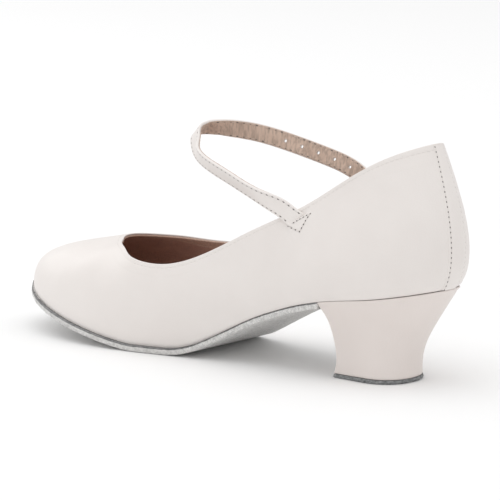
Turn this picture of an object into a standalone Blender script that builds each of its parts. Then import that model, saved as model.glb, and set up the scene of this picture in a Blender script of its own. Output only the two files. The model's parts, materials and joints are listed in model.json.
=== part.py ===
"""A character shoe for the right foot: a round-toed leather pump on a covered block heel,
with a thin suede outsole and one narrow instep strap that buckles on the outer side.

Everything is drawn along the last: x runs from the heel's back to the toe, y is positive
towards the inner (medial) side of the foot, z is up from the floor. One empty turns that
frame so that the toe points along -X and puts the origin at the middle of the heel lift.
"""
import math

import bpy
import numpy as np
from mathutils import Vector
from mathutils.geometry import delaunay_2d_cdt

# Driving sizes in metres
LENGTH = 0.236            # feather line (where upper meets sole), heel back to toe tip
BALL_WIDTH = 0.069        # feather line, across the ball of the foot
HEEL_HEIGHT = 0.039       # underside of the shank above the floor, at the heel's back
TOE_SPRING = 0.0168       # underside of the sole above the floor, at the toe tip
TOE_CURVE = 1.2           # 1 would be a straight ramp
TREAD_START = 0.138       # the sole lies flat on the floor from here
TREAD_END = 0.154         # to here
INSTEP_HEIGHT = 0.038     # topline above the feather line, around the throat
COLLAR_RISE = 0.0242      # what the collar's back adds to that
WALL = 0.0016             # upper: leather and lining together
SOLE = 0.0026             # suede outsole
SOLE_EDGE = 0.0012        # how far the outsole stands out at the ball and toe
EDGE_START = 0.085        # it is flush with the upper back from here
EDGE_FULL = 0.130         # and stands out in full ahead of here
INSOLE = 0.0024
JOIN_GAP = 0.0003         # glue line between pieces
BREAST = 0.051            # heel's front face, at its top
BREAST_CURVE = 0.0035     # how far that face curves back at the middle
BREAST_HOLLOW = 0.0022    # how far it hollows between lift and seat
LIFT = 0.0018             # thickness of the lift
LIFT_BACK = 0.0185        # lift's back, from the heel's back
LIFT_FRONT = 0.0500
LIFT_HALF_WIDTH = 0.0153
LIFT_ROUND = 0.0146       # length of the lift's round back
LIFT_SQUARENESS = 2.2     # of that back: 2 would be half an ellipse
LIFT_CORNER = 0.0148      # half the lift's width at its front corners
LIFT_CURVE = 0.0028       # how far its front edge curves back at the middle
STRIP_WIDTH = 0.0100      # strip down the heel's back
STRIP_THICK = 0.0006
STRAP_WIDTH = 0.0080
STRAP_THICK = 0.0016
STRAP_REACH = 0.0731      # front of the strap's loop, ahead of its inner end
STRAP_RISE = 0.028        # top of the strap's loop above that end
STRAP_SPREAD = 0.0250     # half the width of the strap's loop
STRAP_TAIL = 0.034        # strap past the outer topline, with its free end
HOLE_DIAMETER = 0.0018
HOLE_PITCH = 0.0086
HOLE_COUNT = 7            # spare holes, up the strap from the prong's
BUCKLE_WIRE = 0.0015      # diameter of the frame's wire
BUCKLE_SETBACK = 0.0060   # buckle's middle, from the outer topline
BUCKLE_LENGTH = 0.0095    # between the middles of its two bars
BUCKLE_PLAY = 0.0012      # window's width over the strap's
BUCKLE_CORNER = 0.0022    # radius of the frame's corners
TAB_WIDTH = 0.0075
TAB_THICK = 0.0010
TAB_LENGTH = 0.0130
TAB_CORNER = 0.0002
PRONG_WIRE = 0.0011
PRONG_TIP = 0.0014        # how far the prong's tip passes the free bar

# Places along the last, as shares of LENGTH
INNER_SLIT = 0.262        # middle of the strap's inner end
INNER_EDGE = 0.288        # strap crosses the inner topline
OUTER_EDGE = 0.236        # strap crosses the outer topline
OUTER_TAIL = 0.105        # free end points here

# Heights on the upper, as shares of the way from feather line to topline
INNER_SLIT_RISE = 0.89
OUTER_TAIL_RISE = 0.50
STRIP_FOOT = 0.040
STRIP_TOP = 0.985

ORIGIN_X = (LIFT_BACK + LIFT_FRONT) / 2

# Mesh fineness
RIBS = 96
RIB_STEPS = 11
PLATE_STEP = 0.0052
INSOLE_POINTS = 108
OUTSOLE_POINTS = 91
HEEL_POINTS = 41
HEEL_BREAST_POINTS = 9
LIFT_POINTS = 33
LIFT_BREAST_POINTS = 5
STRAP_STEPS = 88
FINE = 161                # for curves that are measured before they are spaced out

# One row for each rib of the upper, from the heel's back along the inner side to the toe
# and home along the outer side. foot: end on the feather line, top: end on the topline.
# along is a share of LENGTH, across of BALL_WIDTH, instep and collar of their heights.
RIB_COLUMNS = ("foot_along", "foot_across", "top_along", "top_across", "instep", "collar")
RIB_TABLE = (
    (0.000, 0.000, 0.030, 0.000, 1.000, 1.000),
    (0.021, 0.203, 0.044, 0.122, 1.000, 0.975),
    (0.076, 0.325, 0.087, 0.235, 1.000, 0.870),
    (0.161, 0.370, 0.165, 0.287, 1.000, 0.554),
    (0.263, 0.345, 0.258, 0.319, 1.000, 0.174),
    (0.373, 0.313, 0.369, 0.341, 1.000, 0.012),
    (0.483, 0.319, 0.475, 0.372, 0.990, 0.000),
    (0.585, 0.365, 0.570, 0.398, 1.000, 0.000),
    (0.678, 0.425, 0.648, 0.386, 1.024, 0.000),
    (0.780, 0.435, 0.703, 0.271, 1.034, 0.000),
    (0.877, 0.357, 0.740, 0.164, 1.006, 0.000),
    (0.938, 0.240, 0.759, 0.072, 0.985, 0.000),
    (0.981, 0.080, 0.765, 0.022, 0.979, 0.000),
    (1.000, -0.070, 0.767, -0.018, 0.978, 0.000),
    (0.989, -0.212, 0.765, -0.058, 0.982, 0.000),
    (0.951, -0.342, 0.755, -0.116, 0.995, 0.000),
    (0.886, -0.465, 0.727, -0.207, 1.026, 0.000),
    (0.792, -0.545, 0.689, -0.290, 1.053, 0.000),
    (0.686, -0.568, 0.638, -0.362, 1.055, 0.000),
    (0.585, -0.501, 0.571, -0.406, 1.060, 0.000),
    (0.479, -0.416, 0.479, -0.406, 0.992, 0.000),
    (0.373, -0.375, 0.373, -0.380, 0.974, 0.000),
    (0.263, -0.384, 0.258, -0.348, 1.000, 0.128),
    (0.161, -0.383, 0.165, -0.310, 1.000, 0.512),
    (0.072, -0.332, 0.085, -0.240, 1.000, 0.855),
    (0.021, -0.194, 0.044, -0.125, 1.000, 0.970),
)

# How a rib bends, by where its foot is: leans are angles in degrees, foot_lean up from
# straight out and top_lean down from straight out; pulls are shares of the rib's chord.
BEND_TABLE = (
    # along, foot_lean, top_lean, foot_pull, top_pull
    (0.00, 54, 68, 0.22, 0.53),
    (0.02, 54, 70, 0.23, 0.50),
    (0.08, 58, 74, 0.26, 0.42),
    (0.16, 64, 80, 0.30, 0.36),
    (0.37, 66, 82, 0.34, 0.34),
    (0.58, 74, 76, 0.40, 0.34),
    (0.68, 80, 62, 0.42, 0.36),
    (0.78, 80, 38, 0.40, 0.40),
    (0.88, 80, 21, 0.34, 0.44),
    (0.95, 80, 14, 0.29, 0.48),
    (1.00, 80, 12, 0.26, 0.50),
)

# Underside of the shank: along as a share of TREAD_START, height of HEEL_HEIGHT
SHANK_TABLE = (
    (0.00, 1.000),
    (0.16, 0.900),
    (0.33, 0.815),
    (0.45, 0.720),
    (0.55, 0.610),
    (0.64, 0.492),
    (0.77, 0.270),
    (0.83, 0.165),
    (0.89, 0.070),
    (0.95, 0.015),
    (1.00, 0.000),
)

# Heel, from the lift up to the seat: run and spread say how far the outline has grown
# from the lift's to the seat's, along and across; hollow is a share of BREAST_HOLLOW.
HEEL_TABLE = (
    # height, run, spread, hollow
    (0.00, 0.000, 0.00, 0.00),
    (0.05, -0.010, 0.01, 0.30),
    (0.14, -0.010, 0.04, 0.70),
    (0.28, 0.045, 0.10, 0.95),
    (0.43, 0.190, 0.21, 1.00),
    (0.60, 0.430, 0.38, 1.00),
    (0.74, 0.640, 0.56, 0.90),
    (0.86, 0.815, 0.76, 0.55),
    (0.94, 0.930, 0.90, 0.15),
    (1.00, 1.000, 1.00, 0.00),
)

# The strap's free loop, from its inner end over the instep to the outer side. reach,
# side and rise are shares of STRAP_REACH, STRAP_SPREAD and STRAP_RISE; face_along,
# face_side and face_up give the way its outer face looks.
LOOP_TABLE = (
    (0.18, 0.97, 0.19, 0.10, 1.00, -0.40),
    (0.49, 0.85, 0.415, 0.25, 1.00, -0.65),
    (0.77, 0.61, 0.605, 0.60, 0.80, -0.28),
    (0.93, 0.30, 0.78, 0.92, 0.40, 0.05),
    (0.965, 0.00, 0.91, 1.00, 0.00, 0.30),
    (0.86, -0.36, 0.96, 0.68, -0.72, 0.10),
    (0.73, -0.66, 0.90, 0.40, -0.90, -0.20),
    (0.50, -0.88, 0.76, 0.15, -1.00, -0.30),
    (0.25, -0.98, 0.60, 0.08, -1.00, -0.35),
    (0.04, -1.02, 0.42, 0.05, -1.00, -0.30),
)

COLOURS = {
    "leather": ((0.80, 0.74, 0.69), 0.45, 0.0),
    "suede": ((0.58, 0.58, 0.57), 0.95, 0.0),
    "lining": ((0.25, 0.12, 0.08), 0.60, 0.0),
    "lift_rubber": ((0.20, 0.21, 0.22), 0.70, 0.0),
    "buckle_metal": ((0.75, 0.75, 0.76), 0.22, 1.0),
}


def clear_scene():
    for thing in list(bpy.data.objects):
        bpy.data.objects.remove(thing, do_unlink=True)


def material(name):
    colour, roughness, metallic = COLOURS[name]
    mat = bpy.data.materials.get(name)
    if mat is None:
        mat = bpy.data.materials.new(name)
        mat.use_nodes = True
        shader = mat.node_tree.nodes["Principled BSDF"]
        shader.inputs["Base Color"].default_value = (*colour, 1.0)
        shader.inputs["Roughness"].default_value = roughness
        shader.inputs["Metallic"].default_value = metallic
        mat.diffuse_color = (*colour, 1.0)
    return mat


def solid(name, points, faces, finish, parent, crease=40.0):
    """A closed mesh object with its own material, shaded smooth up to the crease angle."""
    mesh = bpy.data.meshes.new(name)
    mesh.from_pydata([tuple(float(c) for c in p) for p in points], [], faces)
    mesh.validate()
    mesh.materials.append(material(finish))
    mesh.shade_smooth()
    mesh.set_sharp_from_angle(angle=math.radians(crease))
    piece = bpy.data.objects.new(name, mesh)
    bpy.context.collection.objects.link(piece)
    piece.parent = parent
    return piece


def cut(piece, cutter):
    """Take the cutter's shape out of the piece."""
    cutter.hide_render = True
    cutter.display_type = "WIRE"
    boolean = piece.modifiers.new("cut_" + cutter.name, "BOOLEAN")
    boolean.operation = "DIFFERENCE"
    boolean.object = cutter


# Curves through tables

def spline_slopes(knots, values, closed):
    """Slopes at the knots of the cubic spline with continuous bending."""
    count = len(knots)
    system = np.zeros((count, count))
    right = np.zeros((count,) + values.shape[1:])
    for i in range(count):
        if not closed and i in (0, count - 1):
            j = 1 if i == 0 else count - 2
            step = knots[j] - knots[i]
            system[i, i], system[i, j] = 2.0, 1.0
            right[i] = 3.0 * (values[j] - values[i]) / step
            continue
        before, after = (i - 1) % count, (i + 1) % count
        h0 = (knots[i] - knots[before]) % 1.0 if closed else knots[i] - knots[before]
        h1 = (knots[after] - knots[i]) % 1.0 if closed else knots[after] - knots[i]
        system[i, before] += h1
        system[i, i] += 2.0 * (h0 + h1)
        system[i, after] += h0
        right[i] = 3.0 * (h1 * (values[i] - values[before]) / h0
                          + h0 * (values[after] - values[i]) / h1)
    return np.linalg.solve(system, right.reshape(count, -1)).reshape(right.shape)


def hermite(knots, values, slopes, query, closed=False):
    """Cubic pieces with the given slopes; a closed curve runs over 0 to 1."""
    query = np.asarray(query, float)
    if closed:
        query = query % 1.0
        knots = np.append(knots, 1.0)
        values = np.concatenate([values, values[:1]])
        slopes = np.concatenate([slopes, slopes[:1]])
    i = np.clip(np.searchsorted(knots, query, side="right") - 1, 0, len(knots) - 2)
    step = knots[i + 1] - knots[i]
    t = (query - knots[i]) / step
    shape = t.shape + (1,) * (values.ndim - 1)
    t, step = t.reshape(shape), step.reshape(shape)
    return (values[i] * (2 * t**3 - 3 * t**2 + 1) + slopes[i] * step * (t**3 - 2 * t**2 + t)
            + values[i + 1] * (3 * t**2 - 2 * t**3) + slopes[i + 1] * step * (t**3 - t**2))


def gentle_slopes(knots, values):
    """Slopes that let no piece of a curve overshoot its table."""
    steps = np.diff(knots)
    rates = np.diff(values) / steps
    slopes = np.zeros(len(knots))
    slopes[0], slopes[-1] = rates[0], rates[-1]
    for i in range(1, len(knots) - 1):
        if rates[i - 1] * rates[i] > 0:
            w1, w2 = 2 * steps[i] + steps[i - 1], steps[i] + 2 * steps[i - 1]
            slopes[i] = (w1 + w2) / (w1 / rates[i - 1] + w2 / rates[i])
    return slopes


# The sole's profile, and the ribs of the upper

SHANK = np.array(SHANK_TABLE)
SHANK_SLOPES = gentle_slopes(SHANK[:, 0], SHANK[:, 1])
SHANK_SLOPES[-1] = 0.0


def tread(x):
    """Height of the sole's underside above the floor: shank, flat tread, toe spring."""
    x = np.asarray(x, float)
    share = np.clip(x / TREAD_START, 0.0, 1.0)
    shank = HEEL_HEIGHT * hermite(SHANK[:, 0], SHANK[:, 1], SHANK_SLOPES, share)
    toe = np.clip((x - TREAD_END) / (LENGTH - TREAD_END), 0.0, None)
    return np.where(x < TREAD_START, shank, TOE_SPRING * toe**TOE_CURVE)


def feather(x):
    """Height of the upper's lower edge."""
    return tread(x) + SOLE + JOIN_GAP


RIB = {name: column for name, column in zip(RIB_COLUMNS, np.array(RIB_TABLE).T)}
FOOT = np.stack([RIB["foot_along"] * LENGTH, RIB["foot_across"] * BALL_WIDTH], 1)
FOOT_STEPS = np.linalg.norm(np.roll(FOOT, -1, axis=0) - FOOT, axis=1)
RIB_TURNS = np.concatenate([[0.0], np.cumsum(FOOT_STEPS)[:-1]]) / FOOT_STEPS.sum()
TOP = np.stack([RIB["top_along"] * LENGTH, RIB["top_across"] * BALL_WIDTH,
                feather(RIB["top_along"] * LENGTH)
                + RIB["instep"] * INSTEP_HEIGHT + RIB["collar"] * COLLAR_RISE], 1)
FOOT_SLOPES = spline_slopes(RIB_TURNS, FOOT, closed=True)
TOP_SLOPES = spline_slopes(RIB_TURNS, TOP, closed=True)
BEND = np.array(BEND_TABLE)


def feather_plan(turn):
    """Plan of the feather line; turn runs 0 to 1 from the heel's back by the inner side."""
    return hermite(RIB_TURNS, FOOT, FOOT_SLOPES, turn, closed=True)


def topline(turn):
    return hermite(RIB_TURNS, TOP, TOP_SLOPES, turn, closed=True)


def plan_normals(curve, turn):
    """Outward normals, in plan, of a closed curve that runs clockwise seen from above."""
    step = 1e-4
    ahead = (curve(turn + step) - curve(turn - step))[..., :2]
    ahead = ahead / np.linalg.norm(ahead, axis=-1, keepdims=True)
    return np.stack([-ahead[..., 1], ahead[..., 0]], -1)


def bend(along):
    """Leans and pulls of the ribs whose feet are at these shares of the length."""
    return [hermite(BEND[:, 0], BEND[:, k], gentle_slopes(BEND[:, 0], BEND[:, k]), along)
            for k in range(1, BEND.shape[1])]


def skin(turn, rise):
    """Outer surface of the upper: rise is 0 on the feather line and 1 on the topline."""
    turn, rise = np.broadcast_arrays(np.asarray(turn, float), np.asarray(rise, float))
    plan = feather_plan(turn)
    foot = np.concatenate([plan, feather(plan[..., 0])[..., None]], -1)
    top = topline(turn)
    foot_out = plan_normals(feather_plan, turn)
    top_out = plan_normals(topline, turn)
    foot_lean, top_lean, foot_pull, top_pull = bend(np.clip(plan[..., 0] / LENGTH, 0.0, 1.0))
    chord = np.linalg.norm(top - foot, axis=-1)

    def handle(base, out, lean, pull, upward):
        angle = np.radians(lean)[..., None]
        way = np.concatenate([np.cos(angle) * out, upward * np.sin(angle)], -1)
        return base + (pull * chord)[..., None] * way

    low = handle(foot, foot_out, foot_lean, foot_pull, 1.0)
    high = handle(top, top_out, top_lean, top_pull, -1.0)
    v = rise[..., None]
    return foot * (1 - v)**3 + low * 3 * v * (1 - v)**2 + high * 3 * v**2 * (1 - v) + top * v**3


def skin_normals(turn, rise):
    step = 1e-3
    turn, rise = np.broadcast_arrays(np.asarray(turn, float), np.asarray(rise, float))
    around = skin(turn + step, rise) - skin(turn - step, rise)
    up = (skin(turn, np.clip(rise + step, 0, 1)) - skin(turn, np.clip(rise - step, 0, 1)))
    normal = np.cross(up, around)
    return normal / np.linalg.norm(normal, axis=-1, keepdims=True)


def off_skin(turn, rise, height):
    """A point this height outside the upper's outer surface."""
    return skin(turn, rise) + skin_normals(turn, rise) * height


def turn_at(along, side):
    """Turn where the topline passes a share of the length; side is 1 inner, -1 outer."""
    turns = np.linspace(0.0, 0.5, 801) * side
    return float(np.interp(along * LENGTH, topline(turns)[:, 0], turns))


# Meshes

def shell_mesh(outer, inner, closed):
    """Solid between two grids of points; closed joins the last column to the first."""
    cols, rows = outer.shape[:2]
    points = np.concatenate([outer.reshape(-1, 3), inner.reshape(-1, 3)])
    back = cols * rows
    faces = []
    for i in range(cols if closed else cols - 1):
        here, there = i * rows, (i + 1) % cols * rows
        for k in range(rows - 1):
            a, b, c, d = here + k, there + k, there + k + 1, here + k + 1
            faces.append((a, b, c, d))
            faces.append((back + d, back + c, back + b, back + a))
        faces.append((back + here, back + there, there, here))
        here, there = here + rows - 1, there + rows - 1
        faces.append((here, there, back + there, back + here))
    if not closed:
        end = (cols - 1) * rows
        for k in range(rows - 1):
            faces.append((k, k + 1, back + k + 1, back + k))
            faces.append((end + k + 1, end + k, back + end + k, back + end + k + 1))
    return points, faces


def turned_out(points, faces):
    """The same faces, all reversed if they enclose the solid inside out."""
    points = np.asarray(points, float)
    volume = 0.0
    for face in faces:
        a = points[face[0]]
        for j in range(1, len(face) - 1):
            volume += np.dot(a, np.cross(points[face[j]], points[face[j + 1]]))
    return faces if volume > 0 else [tuple(reversed(face)) for face in faces]


def plan_triangles(outline, spacing):
    """Triangles over a closed plan outline, with points of their own inside it."""
    outline = np.asarray(outline)
    low, high = outline.min(0), outline.max(0)
    inside = []
    for x in np.arange(low[0] + spacing, high[0], spacing):
        crossings = []
        for a, b in zip(outline, np.roll(outline, -1, axis=0)):
            if (a[0] - x) * (b[0] - x) < 0:
                crossings.append(a[1] + (b[1] - a[1]) * (x - a[0]) / (b[0] - a[0]))
        if len(crossings) == 2:
            near, far = sorted(crossings)
            for share in (0.3, 0.7):
                inside.append((x, near + share * (far - near)))
    every = [Vector((1000 * p[0], 1000 * p[1])) for p in list(outline) + inside]
    count = len(outline)
    edges = [(i, (i + 1) % count) for i in range(count)]
    verts, _, faces, sources, _, _ = delaunay_2d_cdt(every, edges, [], 1, 1e-5)
    order = [source[0] for source in sources]
    plan = np.array(list(outline) + inside)
    return plan, [tuple(order[i] for i in face) for face in faces]


def plate(name, outline, under, over, finish, parent):
    """A plate with this plan whose two faces follow heights that depend on x."""
    plan, triangles = plan_triangles(outline, PLATE_STEP)
    used = sorted({i for face in triangles for i in face})
    row = {i: k for k, i in enumerate(used)}
    plan = plan[used]
    count = len(used)
    low = np.column_stack([plan, under(plan[:, 0])])
    high = np.column_stack([plan, over(plan[:, 0])])
    faces = [tuple(count + row[i] for i in face) for face in triangles]
    faces += [tuple(row[i] for i in reversed(face)) for face in triangles]
    edge = len(outline)
    for i in range(edge):
        j = (i + 1) % edge
        faces.append((row[i], row[j], count + row[j], count + row[i]))
    points = np.concatenate([low, high])
    faces = consistent(faces)
    return solid(name, points, turned_out(points, faces), finish, parent)


def consistent(faces):
    """Turn faces over until each shares its edges with its neighbours in reverse."""
    owners = {}
    for k, face in enumerate(faces):
        for a, b in zip(face, face[1:] + face[:1]):
            owners.setdefault(frozenset((a, b)), []).append(k)
    done, queue = {0}, [0]
    faces = list(faces)
    while queue:
        k = queue.pop()
        for a, b in zip(faces[k], faces[k][1:] + faces[k][:1]):
            for other in owners[frozenset((a, b))]:
                if other in done:
                    continue
                pairs = zip(faces[other], faces[other][1:] + faces[other][:1])
                if (a, b) in set(pairs):
                    faces[other] = tuple(reversed(faces[other]))
                done.add(other)
                queue.append(other)
    return faces


def spaced(points, count):
    """The same open curve, as this many points at even steps."""
    points = np.asarray(points)
    lengths = np.concatenate([[0.0], np.cumsum(np.linalg.norm(np.diff(points, axis=0), axis=1))])
    marks = np.linspace(0.0, lengths[-1], count)
    return np.stack([np.interp(marks, lengths, points[:, k]) for k in range(points.shape[1])], 1)


def swept(path, across, up, section, closed=False):
    """Points and faces of a section, given as (across, up) pairs, swept along a path."""
    count, sides = len(path), len(section)
    points = []
    for k in range(count):
        shape = section[k] if isinstance(section[0][0], (list, tuple)) else section
        points += [path[k] + a * across[k] + b * up[k] for a, b in shape]
    sides = len(points) // count
    faces = []
    for k in range(count if closed else count - 1):
        n = (k + 1) % count
        for s in range(sides):
            e = (s + 1) % sides
            faces.append((k * sides + s, k * sides + e, n * sides + e, n * sides + s))
    if not closed:
        faces.append(tuple(range(sides)))
        faces.append(tuple(reversed(range((count - 1) * sides, count * sides))))
    faces = consistent(faces)
    return np.array(points), turned_out(points, faces)


def wire_section(diameter, sides=8):
    return [(diameter / 2 * math.cos(2 * math.pi * s / sides),
             diameter / 2 * math.sin(2 * math.pi * s / sides)) for s in range(sides)]


def band_section(width, thick, corner=0.0005):
    w, t, c = width / 2, thick / 2, min(corner, thick / 3)
    return [(-w, -t + c), (-w + c, -t), (w - c, -t), (w, -t + c),
            (w, t - c), (w - c, t), (-w + c, t), (-w, t - c)]


# Outlines

def feather_outline(overhang, start, end, count):
    """Feather line moved out by overhang(x), between two turns."""
    turns = np.linspace(start, end, count)
    plan = feather_plan(turns)
    return plan + plan_normals(feather_plan, turns) * overhang(plan[:, 0])[:, None]


def sole_overhang(x):
    """The sole stands out around the forefoot and is flush along the waist."""
    share = np.clip((x - EDGE_START) / (EDGE_FULL - EDGE_START), 0.0, 1.0)
    return SOLE_EDGE * share * share * (3 - 2 * share)


def breast_line(inner_end, outer_end, back_by, count):
    """Curve across the shoe between two points, bowed back at its middle."""
    share = np.linspace(0.0, 1.0, count)[:, None]
    line = inner_end * (1 - share) + outer_end * share
    line[:, 0] -= back_by * (4 * share * (1 - share))[:, 0]
    return line


def turn_of_x(x, side, overhang):
    """Turn where the moved feather line passes x, on one side."""
    turns = np.linspace(0.0, 0.5, 2001) * side
    plan = feather_plan(turns)
    xs = (plan + plan_normals(feather_plan, turns) * overhang(plan[:, 0])[:, None])[:, 0]
    return float(np.interp(x, xs, turns))


# The pieces

def make_upper(parent):
    turns = np.arange(RIBS) / RIBS
    rises = np.linspace(0.0, 1.0, RIB_STEPS)
    turn, rise = np.meshgrid(turns, rises, indexing="ij")
    outer = skin(turn, rise)
    inner = off_skin(turn, rise, -WALL)
    points, faces = shell_mesh(outer, inner, closed=True)
    return solid("upper", points, turned_out(points, faces), "leather", parent)


def make_back_strip(parent):
    half = STRIP_WIDTH / 2 / FOOT_STEPS.sum()
    turn, rise = np.meshgrid(np.linspace(-half, half, 5),
                             np.linspace(STRIP_FOOT, STRIP_TOP, 12), indexing="ij")
    inner = off_skin(turn, rise, JOIN_GAP)
    outer = off_skin(turn, rise, JOIN_GAP + STRIP_THICK)
    points, faces = shell_mesh(outer, inner, closed=False)
    return solid("back_strip", points, turned_out(points, faces), "leather", parent)


def make_insole(parent):
    inset = WALL + 2 * JOIN_GAP
    edge = feather_outline(lambda x: np.full_like(x, -inset), 0.0, 1.0, INSOLE_POINTS + 1)[:-1]
    return plate("insole", edge, feather, lambda x: feather(x) + INSOLE, "lining", parent)


def make_outsole(parent):
    start = turn_of_x(BREAST + JOIN_GAP, 1, sole_overhang)
    end = 1.0 + turn_of_x(BREAST + JOIN_GAP, -1, sole_overhang)
    rim = feather_outline(sole_overhang, start, end, OUTSOLE_POINTS)
    back = breast_line(rim[-1], rim[0], BREAST_CURVE, HEEL_BREAST_POINTS)[1:-1]
    edge = np.concatenate([rim, back])
    return plate("outsole", edge, tread, lambda x: tread(x) + SOLE, "suede", parent)


def lift_outline(count_round, count_breast):
    """Round back and straight sides, closed by the breast line: inner corner first."""
    centre = LIFT_BACK + LIFT_ROUND
    power = 2.0 / LIFT_SQUARENESS
    angles = np.linspace(0.0, math.pi, FINE)
    bow = np.stack([centre - LIFT_ROUND * np.abs(np.sin(angles))**power,
                    LIFT_HALF_WIDTH * np.sign(np.cos(angles)) * np.abs(np.cos(angles))**power], 1)
    corner = np.array([LIFT_FRONT, LIFT_CORNER])
    bow = np.concatenate([[corner], bow, [corner * (1, -1)]])
    front = breast_line(bow[-1], bow[0], LIFT_CURVE, count_breast + 2)[1:-1]
    return np.concatenate([spaced(bow, count_round), front])


def make_heel(parent):
    low = lift_outline(HEEL_POINTS, HEEL_BREAST_POINTS)
    turns = np.linspace(turn_of_x(BREAST, 1, np.zeros_like), turn_of_x(BREAST, -1, np.zeros_like), FINE)
    seat = spaced(feather_plan(turns), HEEL_POINTS)
    front = breast_line(seat[-1], seat[0], BREAST_CURVE, HEEL_BREAST_POINTS + 2)[1:-1]
    high = np.concatenate([seat, front])
    # The breast's hollow fades out along the sides
    near_breast = np.clip((low[:, 0] - LIFT_BACK) / (LIFT_FRONT - LIFT_BACK), 0, 1)**3
    base, seat_height = LIFT + JOIN_GAP, tread(high[:, 0]) + SOLE
    rings = []
    for height, run, spread, hollow in HEEL_TABLE:
        x = low[:, 0] + run * (high[:, 0] - low[:, 0]) - hollow * BREAST_HOLLOW * near_breast
        y = low[:, 1] + spread * (high[:, 1] - low[:, 1])
        rings.append(np.column_stack([x, y, base + height * (seat_height - base)]))
    around = len(low)
    points = np.concatenate(rings)
    faces = []
    for k in range(len(rings) - 1):
        for i in range(around):
            j = (i + 1) % around
            faces.append((k * around + i, k * around + j, (k + 1) * around + j,
                          (k + 1) * around + i))
    extra = []
    for outline, first, height in ((low, 0, lambda x: np.full_like(x, base)),
                                   (high, (len(rings) - 1) * around,
                                    lambda x: tread(x) + SOLE)):
        plan, triangles = plan_triangles(outline, PLATE_STEP)
        start = len(points) + len(extra) - around
        inner = plan[around:]
        extra += list(np.column_stack([inner, height(inner[:, 0])]))
        for face in triangles:
            faces.append(tuple(first + i if i < around else start + i for i in face))
    points = np.concatenate([points, np.array(extra)])
    faces = consistent(faces)
    return solid("heel", points, turned_out(points, faces), "leather", parent)


def make_lift(parent):
    outline = lift_outline(LIFT_POINTS, LIFT_BREAST_POINTS)
    return plate("heel_lift", outline, np.zeros_like, lambda x: np.full_like(x, LIFT),
                 "lift_rubber", parent)


SMALL = 5e-4              # a step short enough to take a direction from


class SkinLine:
    """A straight run across the upper's outer surface, measured along the surface."""

    def __init__(self, start, end):
        share = np.linspace(0.0, 1.0, FINE)
        self.turns = start[0] + (end[0] - start[0]) * share
        self.rises = start[1] + (end[1] - start[1]) * share
        points = skin(self.turns, self.rises)
        steps = np.linalg.norm(np.diff(points, axis=0), axis=1)
        self.marks = np.concatenate([[0.0], np.cumsum(steps)])

    def at(self, distance, height=0.0):
        turn = np.interp(distance, self.marks, self.turns)
        rise = np.interp(distance, self.marks, self.rises)
        return off_skin(turn, rise, height)

    def frame(self, distance):
        """Point on the surface, with the ways ahead, across and out."""
        turn = np.interp(distance, self.marks, self.turns)
        rise = np.interp(distance, self.marks, self.rises)
        out = skin_normals(turn, rise)
        ahead = self.at(distance + SMALL) - self.at(distance - SMALL)
        ahead -= np.dot(ahead, out) * out
        ahead /= np.linalg.norm(ahead)
        return self.at(distance), ahead, np.cross(out, ahead), out


INNER_RUN = SkinLine((turn_at(INNER_SLIT, 1), INNER_SLIT_RISE), (turn_at(INNER_EDGE, 1), 1.0))
OUTER_RUN = SkinLine((turn_at(OUTER_EDGE, -1), 1.0),
                     (turn_at(OUTER_TAIL, -1), OUTER_TAIL_RISE))
SEATED = JOIN_GAP + STRAP_THICK / 2          # strap's middle, lying on the upper
WIRE_REACH = BUCKLE_WIRE / 2 + JOIN_GAP
FREE_BAR = SEATED + STRAP_THICK / 2 + WIRE_REACH
FREE_BAR_AT = BUCKLE_SETBACK - BUCKLE_LENGTH / 2
TAB_BAR_AT = BUCKLE_SETBACK + BUCKLE_LENGTH / 2
TAB_BEND = WIRE_REACH + TAB_THICK / 2        # radius of the tab's turn, to its middle
TAB_BAR = JOIN_GAP + TAB_THICK / 2 + TAB_BEND
OVER_TAB = JOIN_GAP + TAB_THICK + JOIN_GAP + TAB_THICK + SEATED
OVER_BAR = TAB_BAR + TAB_BEND + TAB_THICK / 2 + SEATED


def strap_route():
    """Middle of the strap and the way its outer face looks, all along it."""
    places, faces = [], []
    length = INNER_RUN.marks[-1]
    for share in (0.0, 0.5, 1.0):
        places.append(INNER_RUN.at(share * length, SEATED))
        faces.append(INNER_RUN.frame(share * length)[3])
    start = places[-1]
    middle = 0.5 * (start[1] + OUTER_RUN.at(0.0, SEATED)[1])
    for reach, side, rise, *face in LOOP_TABLE:
        places.append(np.array([start[0] + reach * STRAP_REACH, middle + side * STRAP_SPREAD,
                                start[2] + rise * STRAP_RISE]))
        faces.append(np.array(face) / np.linalg.norm(face))
    outer_rows = ((0.0, SEATED), (FREE_BAR_AT, SEATED),
                  (BUCKLE_SETBACK, 0.5 * (SEATED + OVER_BAR)), (TAB_BAR_AT, OVER_BAR),
                  (TAB_BAR_AT + 0.45 * TAB_LENGTH, OVER_TAB),
                  (TAB_BAR_AT + TAB_LENGTH, OVER_TAB), (STRAP_TAIL, SEATED))
    for distance, height in outer_rows:
        places.append(OUTER_RUN.at(distance, height))
        faces.append(OUTER_RUN.frame(distance)[3])
    return np.array(places), np.array(faces)


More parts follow.
